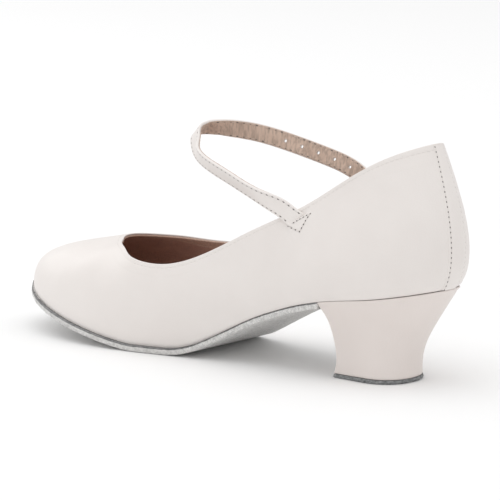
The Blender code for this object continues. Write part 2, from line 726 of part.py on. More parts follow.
def make_strap(parent):
    places, faces = strap_route()
    steps = np.linalg.norm(np.diff(places, axis=0), axis=1)
    knots = np.concatenate([[0.0], np.cumsum(steps)]) / steps.sum()
    marks = np.linspace(0.0, 1.0, STRAP_STEPS + 1)
    path = hermite(knots, places, spline_slopes(knots, places, False), marks)
    face = hermite(knots, faces, spline_slopes(knots, faces, False), marks)
    ahead = np.gradient(path, axis=0)
    ahead /= np.linalg.norm(ahead, axis=1, keepdims=True)
    out = face - np.sum(face * ahead, 1, keepdims=True) * ahead
    out /= np.linalg.norm(out, axis=1, keepdims=True)
    across = np.cross(out, ahead)
    from_end = (1.0 - marks) * steps.sum()
    tip = np.sqrt(np.clip(1.0 - np.clip(1.0 - from_end / (STRAP_WIDTH / 2), 0, 1)**2, 0.08, 1))
    sections = [[(a * t, b) for a, b in band_section(STRAP_WIDTH, STRAP_THICK)] for t in tip]
    points, strap_faces = swept(path, across, out, sections)
    strap = solid("strap", points, strap_faces, "leather", parent)
    lengths = marks * steps.sum()
    window = 0.5 * np.sum(buckle_bar_points()[:2], axis=0)
    prong_hole = lengths[np.argmin(np.linalg.norm(path - window, axis=1))]
    for k in range(1, HOLE_COUNT + 1):
        place = prong_hole - k * HOLE_PITCH
        here = np.array([np.interp(place, lengths, path[:, c]) for c in range(3)])
        way, side, along = (np.array([np.interp(place, lengths, field[:, c]) for c in range(3)])
                            for field in (out, across, ahead))
        rod = here + np.outer([-1.0, 1.0], STRAP_THICK * way)
        punch, punch_faces = swept(rod, np.array([side] * 2), np.array([along] * 2),
                                   wire_section(HOLE_DIAMETER, 10))
        cut(strap, solid(f"strap_punch_{k}", punch, punch_faces, "leather", parent))
    return strap


def buckle_bar_points():
    """Middles of the free bar and the tab's bar, with the way across them."""
    across = OUTER_RUN.frame(BUCKLE_SETBACK)[2]
    free_bar = OUTER_RUN.at(FREE_BAR_AT, FREE_BAR)
    tab_bar = OUTER_RUN.at(TAB_BAR_AT, TAB_BAR)
    return free_bar, tab_bar, across


def make_buckle_frame(parent):
    free_bar, tab_bar, across = buckle_bar_points()
    length = np.linalg.norm(tab_bar - free_bar)
    ahead = (tab_bar - free_bar) / length
    across = across - np.dot(across, ahead) * ahead
    across /= np.linalg.norm(across)
    out = np.cross(ahead, across)
    half = (STRAP_WIDTH + BUCKLE_PLAY + BUCKLE_WIRE) / 2
    centre = 0.5 * (free_bar + tab_bar)
    path, outward = [], []
    for k in range(4):
        turn = math.pi / 2 * k
        sx = 1 if k in (0, 3) else -1
        sy = 1 if k in (0, 1) else -1
        for step in range(5):
            angle = turn + math.pi / 2 * step / 4
            way = math.cos(angle) * ahead + math.sin(angle) * across
            middle = (sx * (length / 2 - BUCKLE_CORNER) * ahead
                      + sy * (half - BUCKLE_CORNER) * across)
            path.append(centre + middle + BUCKLE_CORNER * way)
            outward.append(way)
    path, outward = np.array(path), np.array(outward)
    outs = np.repeat(out[None], len(path), 0)
    points, faces = swept(path, outward, outs, wire_section(BUCKLE_WIRE), closed=True)
    return solid("buckle_frame", points, faces, "buckle_metal", parent)


def make_buckle_tab(parent):
    """A leather tab sewn to the upper, turned round the buckle's bar, with a notch."""
    low = JOIN_GAP + TAB_THICK / 2
    high = low + TAB_THICK + JOIN_GAP
    rows = [(TAB_BAR_AT + TAB_LENGTH * share, low) for share in (1.0, 0.75, 0.5, 0.25, 0.1)]
    for step in range(9):
        angle = math.pi * step / 8
        rows.append((TAB_BAR_AT - TAB_BEND * math.sin(angle),
                     TAB_BAR - TAB_BEND * math.cos(angle)))
    rows += [(TAB_BAR_AT + TAB_LENGTH * 0.2, 0.45 * high + 0.55 * (TAB_BAR + TAB_BEND))]
    rows += [(TAB_BAR_AT + TAB_LENGTH * share, high) for share in (0.42, 0.6, 0.8, 1.0)]
    path = np.array([OUTER_RUN.at(distance, height) for distance, height in rows])
    across = np.array([OUTER_RUN.frame(distance)[2] for distance, _ in rows])
    ahead = np.gradient(path, axis=0)
    ahead /= np.linalg.norm(ahead, axis=1, keepdims=True)
    out = np.cross(ahead, across)
    out /= np.linalg.norm(out, axis=1, keepdims=True)
    points, faces = swept(path, across, out, band_section(TAB_WIDTH, TAB_THICK, TAB_CORNER))
    tab = solid("buckle_tab", points, faces, "leather", parent)
    centre, ahead, across, out = OUTER_RUN.frame(TAB_BAR_AT)
    notch = (PRONG_WIRE + 4 * JOIN_GAP) / 2
    middle = centre + TAB_BAR * out
    corners = []
    for a in (-2 * TAB_BEND, 1.7 * TAB_BEND):
        for b in (-notch, notch):
            for c in (-TAB_BEND - 0.6 * TAB_THICK, 3 * TAB_BEND):
                corners.append(middle + a * ahead + b * across + c * out)
    box = [(0, 1, 3, 2), (4, 6, 7, 5), (0, 4, 5, 1), (2, 3, 7, 6), (0, 2, 6, 4), (1, 5, 7, 3)]
    cutter = solid("tab_notch", corners, turned_out(corners, consistent(box)), "leather", parent)
    cut(tab, cutter)
    return tab


def make_prong(parent, strap):
    free_bar, tab_bar, across = buckle_bar_points()
    _, ahead, across, out = OUTER_RUN.frame(TAB_BAR_AT)
    turn = BUCKLE_WIRE / 2 + JOIN_GAP + PRONG_WIRE / 2
    places = []
    for step in range(6):
        angle = math.radians(-60 + 30 * step)
        places.append(tab_bar + turn * (math.cos(angle) * ahead + math.sin(angle) * out))
    tip = free_bar + turn * out - PRONG_TIP * ahead
    root = places[-1]
    for share in (0.25, 0.5, 0.75, 1.0):
        places.append(root + share * (tip - root))
    path = np.array(places)
    forward = np.gradient(path, axis=0)
    forward /= np.linalg.norm(forward, axis=1, keepdims=True)
    side = np.repeat(across[None], len(path), 0)
    normal = np.cross(forward, side)
    normal /= np.linalg.norm(normal, axis=1, keepdims=True)
    side = np.cross(normal, forward)
    points, faces = swept(path, side, normal, wire_section(PRONG_WIRE))
    prong = solid("buckle_prong", points, faces, "buckle_metal", parent)
    clear = PRONG_WIRE + 3 * JOIN_GAP
    start, end = root - 0.2 * (tip - root), tip
    way = (end - start) / np.linalg.norm(end - start)
    rim = np.cross(way, across)
    rods = np.array([start, end])
    points, faces = swept(rods, np.array([across] * 2), np.array([rim] * 2), wire_section(clear))
    cut(strap, solid("prong_passage", points, faces, "leather", parent))
    return prong


def main():
    clear_scene()
    frame = bpy.data.objects.new("shoe_frame", None)
    bpy.context.collection.objects.link(frame)
    frame.location = (ORIGIN_X, 0.0, 0.0)
    frame.rotation_euler = (0.0, 0.0, math.pi)
    make_upper(frame)
    make_back_strip(frame)
    make_insole(frame)
    make_outsole(frame)
    make_heel(frame)
    make_lift(frame)
    strap = make_strap(frame)
    make_buckle_frame(frame)
    make_buckle_tab(frame)
    make_prong(frame, strap)


main()
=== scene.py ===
"""Looks of the right-foot character shoe: white leather upper with its brown lining, stitched
instep strap, covered heel, suede outsole and rubber lift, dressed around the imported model.

Surfaces are drawn along the last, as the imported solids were: x runs from the heel's back to
the toe, y is positive towards the inner side of the foot, z is up from the floor, in metres.
placed() turns such points into the model's own frame, with the toe towards -X.
"""
import json
import math

import bpy
import numpy as np
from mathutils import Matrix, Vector, noise

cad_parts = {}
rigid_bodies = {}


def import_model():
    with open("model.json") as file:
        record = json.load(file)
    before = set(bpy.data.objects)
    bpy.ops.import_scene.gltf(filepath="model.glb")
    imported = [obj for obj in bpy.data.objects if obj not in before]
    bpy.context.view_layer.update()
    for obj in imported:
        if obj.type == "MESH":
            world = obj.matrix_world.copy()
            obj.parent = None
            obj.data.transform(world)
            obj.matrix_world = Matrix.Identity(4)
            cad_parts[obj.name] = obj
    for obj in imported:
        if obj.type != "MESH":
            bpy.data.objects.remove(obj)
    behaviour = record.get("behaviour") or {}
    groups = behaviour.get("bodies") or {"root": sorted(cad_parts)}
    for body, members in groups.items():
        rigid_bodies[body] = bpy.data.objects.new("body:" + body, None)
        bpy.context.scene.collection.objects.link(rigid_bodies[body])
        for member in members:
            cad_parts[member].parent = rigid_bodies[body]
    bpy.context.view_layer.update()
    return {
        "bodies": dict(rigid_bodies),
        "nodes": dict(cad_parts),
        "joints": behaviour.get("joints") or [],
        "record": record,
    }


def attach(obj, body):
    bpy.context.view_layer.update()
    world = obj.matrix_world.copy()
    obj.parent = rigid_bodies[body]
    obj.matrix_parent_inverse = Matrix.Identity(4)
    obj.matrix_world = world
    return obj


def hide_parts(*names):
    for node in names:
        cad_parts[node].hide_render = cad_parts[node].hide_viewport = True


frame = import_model()

# Driving sizes in metres
LENGTH = 0.236            # feather line (where upper meets sole), heel back to toe tip
BALL_WIDTH = 0.069        # feather line, across the ball of the foot
HEEL_HEIGHT = 0.039       # underside of the shank above the floor, at the heel's back
TOE_SPRING = 0.0168       # underside of the sole above the floor, at the toe tip
TOE_CURVE = 1.2           # 1 would be a straight ramp
TREAD_START = 0.138       # the sole lies flat on the floor from here
TREAD_END = 0.154         # to here
INSTEP_HEIGHT = 0.038     # topline above the feather line, around the throat
COLLAR_RISE = 0.0242      # what the collar's back adds to that
WALL = 0.0016             # upper: leather and lining together
SOLE = 0.0026             # suede outsole
SOLE_EDGE = 0.0012        # how far the outsole stands out at the ball and toe
EDGE_START = 0.085        # it is flush with the upper back from here
EDGE_FULL = 0.130         # and stands out in full ahead of here
INSOLE = 0.0024
JOIN_GAP = 0.0003         # glue line between pieces
BREAST = 0.051            # heel's front face, at its top
BREAST_CURVE = 0.0035     # how far that face curves back at the middle
BREAST_HOLLOW = 0.0022    # how far it hollows between lift and seat
LIFT = 0.0018             # thickness of the lift
LIFT_BACK = 0.0185        # lift's back, from the heel's back
LIFT_FRONT = 0.0500
LIFT_HALF_WIDTH = 0.0153
LIFT_ROUND = 0.0146       # length of the lift's round back
LIFT_SQUARENESS = 2.2     # of that back: 2 would be half an ellipse
LIFT_CORNER = 0.0148      # half the lift's width at its front corners
LIFT_CURVE = 0.0028       # how far its front edge curves back at the middle
STRIP_WIDTH = 0.0100      # strip down the heel's back
STRAP_WIDTH = 0.0080
STRAP_THICK = 0.0016
STRAP_REACH = 0.0731      # front of the strap's loop, ahead of its inner end
STRAP_RISE = 0.028        # top of the strap's loop above that end
STRAP_SPREAD = 0.0250     # half the width of the strap's loop
STRAP_TAIL = 0.034        # strap past the outer topline, with its free end
HOLE_DIAMETER = 0.0018
HOLE_PITCH = 0.0086
HOLE_COUNT = 7            # spare holes, up the strap from the prong's
BUCKLE_WIRE = 0.0015      # diameter of the frame's wire
BUCKLE_SETBACK = 0.0060   # buckle's middle, from the outer topline
BUCKLE_LENGTH = 0.0095    # between the middles of its two bars
BUCKLE_PLAY = 0.0012      # window's width over the strap's
BUCKLE_CORNER = 0.0022    # radius of the frame's corners
TAB_WIDTH = 0.0075
TAB_THICK = 0.0010
TAB_LENGTH = 0.0130
PRONG_WIRE = 0.0011
PRONG_TIP = 0.0014        # how far the prong's tip passes the free bar

# Places along the last, as shares of LENGTH
INNER_EDGE = 0.288        # strap crosses the inner topline
OUTER_EDGE = 0.236        # strap crosses the outer topline
OUTER_TAIL = 0.105        # free end points here
OUTER_TAIL_RISE = 0.50    # at this share of the way from feather line to topline

ORIGIN_X = (LIFT_BACK + LIFT_FRONT) / 2
FINE = 161                # points of a curve that is measured before it is spaced out

# One row for each rib of the upper, from the heel's back along the inner side to the toe
# and home along the outer side. foot: end on the feather line, top: end on the topline.
# along is a share of LENGTH, across of BALL_WIDTH, instep and collar of their heights.
RIB_COLUMNS = ("foot_along", "foot_across", "top_along", "top_across", "instep", "collar")
RIB_TABLE = (
    (0.000, 0.000, 0.030, 0.000, 1.000, 1.000),
    (0.021, 0.203, 0.044, 0.122, 1.000, 0.975),
    (0.076, 0.325, 0.087, 0.235, 1.000, 0.870),
    (0.161, 0.370, 0.165, 0.287, 1.000, 0.554),
    (0.263, 0.345, 0.258, 0.319, 1.000, 0.174),
    (0.373, 0.313, 0.369, 0.341, 1.000, 0.012),
    (0.483, 0.319, 0.475, 0.372, 0.990, 0.000),
    (0.585, 0.365, 0.570, 0.398, 0.994, 0.000),
    (0.678, 0.425, 0.648, 0.386, 1.008, 0.000),
    (0.780, 0.435, 0.700, 0.271, 1.022, 0.000),
    (0.877, 0.357, 0.736, 0.164, 1.004, 0.000),
    (0.938, 0.240, 0.756, 0.072, 0.985, 0.000),
    (0.981, 0.080, 0.767, 0.020, 0.979, 0.000),
    (1.000, -0.070, 0.772, -0.022, 0.979, 0.000),
    (0.989, -0.212, 0.772, -0.064, 0.983, 0.000),
    (0.951, -0.342, 0.762, -0.124, 0.996, 0.000),
    (0.886, -0.465, 0.729, -0.210, 1.026, 0.000),
    (0.792, -0.545, 0.689, -0.290, 1.053, 0.000),
    (0.686, -0.568, 0.638, -0.362, 1.055, 0.000),
    (0.585, -0.501, 0.571, -0.406, 1.060, 0.000),
    (0.479, -0.416, 0.479, -0.406, 0.992, 0.000),
    (0.373, -0.375, 0.373, -0.380, 0.974, 0.000),
    (0.263, -0.384, 0.258, -0.348, 1.000, 0.128),
    (0.161, -0.383, 0.165, -0.310, 1.000, 0.512),
    (0.072, -0.332, 0.085, -0.240, 1.000, 0.855),
    (0.021, -0.194, 0.044, -0.125, 1.000, 0.970),
)

# How a rib bends, by where its foot is: leans are angles in degrees, foot_lean up from
# straight out and top_lean down from straight out; pulls are shares of the rib's chord.
BEND_TABLE = (
    # along, foot_lean, top_lean, foot_pull, top_pull
    (0.00, 54, 68, 0.22, 0.53),
    (0.02, 54, 70, 0.23, 0.50),
    (0.08, 58, 74, 0.26, 0.42),
    (0.16, 64, 80, 0.30, 0.36),
    (0.37, 66, 82, 0.34, 0.34),
    (0.58, 74, 76, 0.40, 0.34),
    (0.68, 80, 62, 0.42, 0.36),
    (0.78, 80, 38, 0.40, 0.40),
    (0.88, 80, 21, 0.34, 0.44),
    (0.95, 80, 14, 0.29, 0.48),
    (1.00, 80, 12, 0.26, 0.50),
)

# Underside of the shank: along as a share of TREAD_START, height of HEEL_HEIGHT
SHANK_TABLE = (
    (0.00, 1.000),
    (0.16, 0.900),
    (0.33, 0.815),
    (0.45, 0.720),
    (0.55, 0.610),
    (0.64, 0.492),
    (0.77, 0.270),
    (0.83, 0.165),
    (0.89, 0.070),
    (0.95, 0.015),
    (1.00, 0.000),
)

# Heel, from the lift up to the seat: run and spread say how far the outline has grown
# from the lift's to the seat's, along and across; hollow is a share of BREAST_HOLLOW.
HEEL_TABLE = (
    # height, run, spread, hollow
    (0.00, 0.000, 0.00, 0.00),
    (0.05, -0.010, 0.01, 0.30),
    (0.14, -0.010, 0.04, 0.70),
    (0.28, 0.045, 0.10, 0.95),
    (0.43, 0.190, 0.21, 1.00),
    (0.60, 0.430, 0.38, 1.00),
    (0.74, 0.640, 0.56, 0.90),
    (0.86, 0.815, 0.76, 0.55),
    (0.94, 0.930, 0.90, 0.15),
    (1.00, 1.000, 1.00, 0.00),
)

# The strap's free loop, from its inner end over the instep to the outer side. reach,
# side and rise are shares of STRAP_REACH, STRAP_SPREAD and STRAP_RISE; face_along,
# face_side and face_up give the way its outer face looks.
LOOP_TABLE = (
    (0.18, 0.97, 0.16, 0.17, 0.94, -0.30),
    (0.49, 0.85, 0.405, 0.30, 0.84, -0.46),
    (0.77, 0.61, 0.61, 0.46, 0.83, -0.32),
    (0.923, 0.225, 0.79, 0.58, 0.74, 0.35),
    (0.975, -0.03, 0.935, 0.66, 0.42, 0.60),
    (0.96, -0.22, 0.955, 0.65, -0.37, 0.60),
    (0.86, -0.36, 0.96, 0.65, -0.69, 0.30),
    (0.73, -0.66, 0.90, 0.41, -0.91, -0.04),
    (0.50, -0.88, 0.76, 0.15, -1.00, -0.30),
    (0.25, -0.98, 0.60, 0.08, -1.00, -0.35),
    (0.04, -1.02, 0.42, 0.05, -1.00, -0.30),
)


# Curves through tables

def unit(vectors):
    return vectors / np.linalg.norm(vectors, axis=-1, keepdims=True)


def smooth(low, high, value):
    share = np.clip((value - low) / (high - low), 0.0, 1.0)
    return share * share * (3 - 2 * share)


def eased(count):
    """Shares from 0 to 1 that lie closest at both ends."""
    return 0.5 * (1 - np.cos(np.linspace(0.0, math.pi, count)))


def lengths_along(points):
    """Distance of each point from the first, along an open curve."""
    return np.concatenate([[0.0], np.cumsum(np.linalg.norm(np.diff(points, axis=0), axis=1))])


def at_marks(marks, lengths, field):
    return np.stack([np.interp(marks, lengths, column) for column in np.transpose(field)], -1)


def spline_slopes(knots, values, closed):
    """Slopes at the knots of the cubic spline with continuous bending."""
    count = len(knots)
    system = np.zeros((count, count))
    right = np.zeros((count,) + values.shape[1:])
    for i in range(count):
        if not closed and i in (0, count - 1):
            j = 1 if i == 0 else count - 2
            step = knots[j] - knots[i]
            system[i, i], system[i, j] = 2.0, 1.0
            right[i] = 3.0 * (values[j] - values[i]) / step
            continue
        before, after = (i - 1) % count, (i + 1) % count
        h0 = (knots[i] - knots[before]) % 1.0 if closed else knots[i] - knots[before]
        h1 = (knots[after] - knots[i]) % 1.0 if closed else knots[after] - knots[i]
        system[i, before] += h1
        system[i, i] += 2.0 * (h0 + h1)
        system[i, after] += h0
        right[i] = 3.0 * (h1 * (values[i] - values[before]) / h0
                          + h0 * (values[after] - values[i]) / h1)
    return np.linalg.solve(system, right.reshape(count, -1)).reshape(right.shape)


def hermite(knots, values, slopes, query, closed=False):
    """Cubic pieces with the given slopes; a closed curve runs over 0 to 1."""
    query = np.asarray(query, float)
    if closed:
        query = query % 1.0
        knots = np.append(knots, 1.0)
        values = np.concatenate([values, values[:1]])
        slopes = np.concatenate([slopes, slopes[:1]])
    i = np.clip(np.searchsorted(knots, query, side="right") - 1, 0, len(knots) - 2)
    step = knots[i + 1] - knots[i]
    t = (query - knots[i]) / step
    shape = t.shape + (1,) * (values.ndim - 1)
    t, step = t.reshape(shape), step.reshape(shape)
    return (values[i] * (2 * t**3 - 3 * t**2 + 1) + slopes[i] * step * (t**3 - 2 * t**2 + t)
            + values[i + 1] * (3 * t**2 - 2 * t**3) + slopes[i + 1] * step * (t**3 - t**2))


def gentle_slopes(knots, values):
    """Slopes that let no piece of a curve overshoot its table."""
    steps = np.diff(knots)
    rates = np.diff(values) / steps
    slopes = np.zeros(len(knots))
    slopes[0], slopes[-1] = rates[0], rates[-1]
    for i in range(1, len(knots) - 1):
        if rates[i - 1] * rates[i] > 0:
            w1, w2 = 2 * steps[i] + steps[i - 1], steps[i] + 2 * steps[i - 1]
            slopes[i] = (w1 + w2) / (w1 / rates[i - 1] + w2 / rates[i])
    return slopes


# The sole's profile, and the ribs of the upper

SHANK = np.array(SHANK_TABLE)
SHANK_SLOPES = gentle_slopes(SHANK[:, 0], SHANK[:, 1])
SHANK_SLOPES[-1] = 0.0


def tread(x):
    """Height of the sole's underside above the floor: shank, flat tread, toe spring."""
    x = np.asarray(x, float)
    share = np.clip(x / TREAD_START, 0.0, 1.0)
    shank = HEEL_HEIGHT * hermite(SHANK[:, 0], SHANK[:, 1], SHANK_SLOPES, share)
    toe = np.clip((x - TREAD_END) / (LENGTH - TREAD_END), 0.0, None)
    return np.where(x < TREAD_START, shank, TOE_SPRING * toe**TOE_CURVE)


def feather(x):
    """Height of the upper's lower edge."""
    return tread(x) + SOLE + JOIN_GAP


RIB = {name: column for name, column in zip(RIB_COLUMNS, np.array(RIB_TABLE).T)}
FOOT = np.stack([RIB["foot_along"] * LENGTH, RIB["foot_across"] * BALL_WIDTH], 1)
FOOT_STEPS = np.linalg.norm(np.roll(FOOT, -1, axis=0) - FOOT, axis=1)
RIB_TURNS = np.concatenate([[0.0], np.cumsum(FOOT_STEPS)[:-1]]) / FOOT_STEPS.sum()
TOP = np.stack([RIB["top_along"] * LENGTH, RIB["top_across"] * BALL_WIDTH,
                feather(RIB["top_along"] * LENGTH)
                + RIB["instep"] * INSTEP_HEIGHT + RIB["collar"] * COLLAR_RISE], 1)
FOOT_SLOPES = spline_slopes(RIB_TURNS, FOOT, closed=True)
TOP_SLOPES = spline_slopes(RIB_TURNS, TOP, closed=True)
BEND = np.array(BEND_TABLE)


def feather_plan(turn):
    """Plan of the feather line; turn runs 0 to 1 from the heel's back by the inner side."""
    return hermite(RIB_TURNS, FOOT, FOOT_SLOPES, turn, closed=True)


def topline(turn):
    return hermite(RIB_TURNS, TOP, TOP_SLOPES, turn, closed=True)


def plan_normals(curve, turn):
    """Outward normals, in plan, of a closed curve that runs clockwise seen from above."""
    step = 1e-4
    ahead = unit((curve(turn + step) - curve(turn - step))[..., :2])
    return np.stack([-ahead[..., 1], ahead[..., 0]], -1)


def bend(along):
    """Leans and pulls of the ribs whose feet are at these shares of the length."""
    return [hermite(BEND[:, 0], BEND[:, k], gentle_slopes(BEND[:, 0], BEND[:, k]), along)
            for k in range(1, BEND.shape[1])]


def skin(turn, rise):
    """Outer surface of the upper: rise is 0 on the feather line and 1 on the topline."""
    turn, rise = np.broadcast_arrays(np.asarray(turn, float), np.asarray(rise, float))
    plan = feather_plan(turn)
    foot = np.concatenate([plan, feather(plan[..., 0])[..., None]], -1)
    top = topline(turn)
    foot_out = plan_normals(feather_plan, turn)
    top_out = plan_normals(topline, turn)
    foot_lean, top_lean, foot_pull, top_pull = bend(np.clip(plan[..., 0] / LENGTH, 0.0, 1.0))
    chord = np.linalg.norm(top - foot, axis=-1)

    def handle(base, out, lean, pull, upward):
        angle = np.radians(lean)[..., None]
        way = np.concatenate([np.cos(angle) * out, upward * np.sin(angle)], -1)
        return base + (pull * chord)[..., None] * way

    low = handle(foot, foot_out, foot_lean, foot_pull, 1.0)
    high = handle(top, top_out, top_lean, top_pull, -1.0)
    v = rise[..., None]
    return foot * (1 - v)**3 + low * 3 * v * (1 - v)**2 + high * 3 * v**2 * (1 - v) + top * v**3


def skin_normals(turn, rise):
    step = 1e-3
    turn, rise = np.broadcast_arrays(np.asarray(turn, float), np.asarray(rise, float))
    around = skin(turn + step, rise) - skin(turn - step, rise)
    up = skin(turn, np.clip(rise + step, 0, 1)) - skin(turn, np.clip(rise - step, 0, 1))
    return unit(np.cross(up, around))


def off_skin(turn, rise, height):
    """A point this height outside the upper's outer surface."""
    return skin(turn, rise) + skin_normals(turn, rise) * height


def turn_at(along, side):
    """Turn where the topline passes a share of the length; side is 1 inner, -1 outer."""
    turns = np.linspace(0.0, 0.5, 801) * side
    return float(np.interp(along * LENGTH, topline(turns)[:, 0], turns))


def spaced(points, count):
    """The same open curve, as this many points at even steps."""
    lengths = lengths_along(points)
    return at_marks(np.linspace(0.0, lengths[-1], count), lengths, points)


def feather_outline(overhang, count):
    """Closed feather line moved out by overhang(x)."""
    turns = np.linspace(0.0, 1.0, count + 1)[:-1]
    plan = feather_plan(turns)
    return plan + plan_normals(feather_plan, turns) * overhang(plan[:, 0])[:, None]


def sole_overhang(x):
    """The sole stands out around the forefoot and is flush along the waist."""
    return SOLE_EDGE * smooth(EDGE_START, EDGE_FULL, x)


def breast_line(inner_end, outer_end, back_by, count):
    """Curve across the shoe between two points, bowed back at its middle."""
    share = np.linspace(0.0, 1.0, count)[:, None]
    line = inner_end * (1 - share) + outer_end * share
    line[:, 0] -= back_by * (4 * share * (1 - share))[:, 0]
    return line


def turn_of_x(x, side):
    """Turn where the feather line passes x, on one side."""
    turns = np.linspace(0.0, 0.5, 2001) * side
    return float(np.interp(x, feather_plan(turns)[:, 0], turns))


def lift_outline(count_round, count_breast):
    """Round back and straight sides, closed by the breast line: inner corner first."""
    centre = LIFT_BACK + LIFT_ROUND
    power = 2.0 / LIFT_SQUARENESS
    angles = np.linspace(0.0, math.pi, FINE)
    bow = np.stack([centre - LIFT_ROUND * np.abs(np.sin(angles))**power,
                    LIFT_HALF_WIDTH * np.sign(np.cos(angles)) * np.abs(np.cos(angles))**power], 1)
    corner = np.array([LIFT_FRONT, LIFT_CORNER])
    bow = np.concatenate([[corner], bow, [corner * (1, -1)]])
    front = breast_line(bow[-1], bow[0], LIFT_CURVE, count_breast + 2)[1:-1]
    return np.concatenate([spaced(bow, count_round), front])


SMALL = 5e-4              # a step short enough to take a direction from


class SkinLine:
    """A straight run across the upper's outer surface, measured along the surface."""

    def __init__(self, start, end):
        share = np.linspace(0.0, 1.0, FINE)
        self.turns = start[0] + (end[0] - start[0]) * share
        self.rises = start[1] + (end[1] - start[1]) * share
        self.marks = lengths_along(skin(self.turns, self.rises))

    def spot(self, distance):
        return (np.interp(distance, self.marks, self.turns),
                np.interp(distance, self.marks, self.rises))

    def at(self, distance, height=0.0):
        return off_skin(*self.spot(distance), height)

    def frame(self, distance):
        """Point on the surface, with the ways ahead, across and out."""
        out = skin_normals(*self.spot(distance))
        ahead = self.at(distance + SMALL) - self.at(distance - SMALL)
        ahead = unit(ahead - np.dot(ahead, out) * out)
        return self.at(distance), ahead, np.cross(out, ahead), out


OUTER_RUN = SkinLine((turn_at(OUTER_EDGE, -1), 1.0),
                     (turn_at(OUTER_TAIL, -1), OUTER_TAIL_RISE))
SEATED = JOIN_GAP + STRAP_THICK / 2          # strap's middle, lying on the upper
WIRE_REACH = BUCKLE_WIRE / 2 + JOIN_GAP
FREE_BAR = SEATED + STRAP_THICK / 2 + WIRE_REACH
FREE_BAR_AT = BUCKLE_SETBACK - BUCKLE_LENGTH / 2
TAB_BAR_AT = BUCKLE_SETBACK + BUCKLE_LENGTH / 2
TAB_BEND = WIRE_REACH + TAB_THICK / 2        # radius of the tab's turn, to its middle
TAB_BAR = JOIN_GAP + TAB_THICK / 2 + TAB_BEND
OVER_TAB = JOIN_GAP + TAB_THICK + JOIN_GAP + TAB_THICK + SEATED
OVER_BAR = TAB_BAR + TAB_BEND + TAB_THICK / 2 + SEATED


def strap_route():
    """Middle of the strap and the way its outer face looks, from the inner topline on."""
    turn = turn_at(INNER_EDGE, 1)
    start = off_skin(turn, 1.0, SEATED)
    places, faces = [start], [skin_normals(turn, 1.0)]
    middle = 0.5 * (start[1] + OUTER_RUN.at(0.0, SEATED)[1])
    for reach, side, rise, *face in LOOP_TABLE:
        places.append(np.array([start[0] + reach * STRAP_REACH, middle + side * STRAP_SPREAD,
                                start[2] + rise * STRAP_RISE]))
        faces.append(unit(np.array(face)))
    outer_rows = ((0.0, SEATED), (FREE_BAR_AT, SEATED),
                  (BUCKLE_SETBACK, 0.5 * (SEATED + OVER_BAR)), (TAB_BAR_AT, OVER_BAR),
                  (TAB_BAR_AT + 0.45 * TAB_LENGTH, OVER_TAB),
                  (TAB_BAR_AT + TAB_LENGTH, OVER_TAB), (STRAP_TAIL, SEATED))
    for distance, height in outer_rows:
        places.append(OUTER_RUN.at(distance, height))
        faces.append(OUTER_RUN.frame(distance)[3])
    return np.array(places), np.array(faces)


def buckle_bar_points():
    """Middles of the free bar and the tab's bar, with the way across them."""
    across = OUTER_RUN.frame(BUCKLE_SETBACK)[2]
    free_bar = OUTER_RUN.at(FREE_BAR_AT, FREE_BAR)
    tab_bar = OUTER_RUN.at(TAB_BAR_AT, TAB_BAR)
    return free_bar, tab_bar, across


# Materials

class Look:
    """A Principled material whose textures are laid in the model's own metres."""

    def __init__(self, name, **sockets):
        self.mat = bpy.data.materials.new(name)
        self.mat.use_nodes = True
        self.nodes, self.links = self.mat.node_tree.nodes, self.mat.node_tree.links
        self.shader = self.nodes["Principled BSDF"]
        for socket, value in sockets.items():
            self.shader.inputs[socket.replace("_", " ")].default_value = value
        self.place = self.nodes.new("ShaderNodeTexCoord").outputs["Object"]
        self.height = None

    def noise(self, size, detail=2.0, rough=0.5, stretch=None):
        node = self.nodes.new("ShaderNodeTexNoise")
        node.inputs["Scale"].default_value = 1.0 / size
        node.inputs["Detail"].default_value = detail
        node.inputs["Roughness"].default_value = rough
        place = self.place
        if stretch:
            mapping = self.nodes.new("ShaderNodeMapping")
            mapping.inputs["Scale"].default_value, mapping.inputs["Rotation"].default_value = stretch
            self.links.new(place, mapping.inputs["Vector"])
            place = mapping.outputs["Vector"]
        self.links.new(place, node.inputs["Vector"])
        return node.outputs["Fac"]

    def cells(self, size):
        node = self.nodes.new("ShaderNodeTexVoronoi")
        node.inputs["Scale"].default_value = 1.0 / size
        self.links.new(self.place, node.inputs["Vector"])
        return node.outputs["Distance"]

    def ramp(self, value, *stops):
        node = self.nodes.new("ShaderNodeValToRGB")
        while len(node.color_ramp.elements) < len(stops):
            node.color_ramp.elements.new(0.5)
        for element, (place, colour) in zip(node.color_ramp.elements, stops):
            element.position = place
            element.color = (*colour, 1.0) if hasattr(colour, "__len__") else (colour,) * 3 + (1.0,)
        self.links.new(value, node.inputs["Fac"])
        return node.outputs["Color"]

    def mix(self, share, first, second, blend="MIX"):
        node = self.nodes.new("ShaderNodeMix")
        node.data_type, node.blend_type = "RGBA", blend
        for socket, value in (("Factor", share), ("A", first), ("B", second)):
            socket = [s for s in node.inputs if s.name == socket and s.enabled][0]
            if hasattr(value, "node"):
                self.links.new(value, socket)
            else:
                socket.default_value = value if socket.name == "Factor" else (*value, 1.0)
        return [s for s in node.outputs if s.enabled][0]

    def bump(self, value, depth, strength=1.0):
        node = self.nodes.new("ShaderNodeBump")
        node.inputs["Distance"].default_value = depth
        node.inputs["Strength"].default_value = strength
        self.links.new(value, node.inputs["Height"])
        if self.height is not None:
            self.links.new(self.height, node.inputs["Normal"])
        self.height = node.outputs["Normal"]
        self.links.new(self.height, self.shader.inputs["Normal"])

    def colour(self, value):
        self.links.new(value, self.shader.inputs["Base Color"])

    def roughness(self, value):
        self.links.new(value, self.shader.inputs["Roughness"])


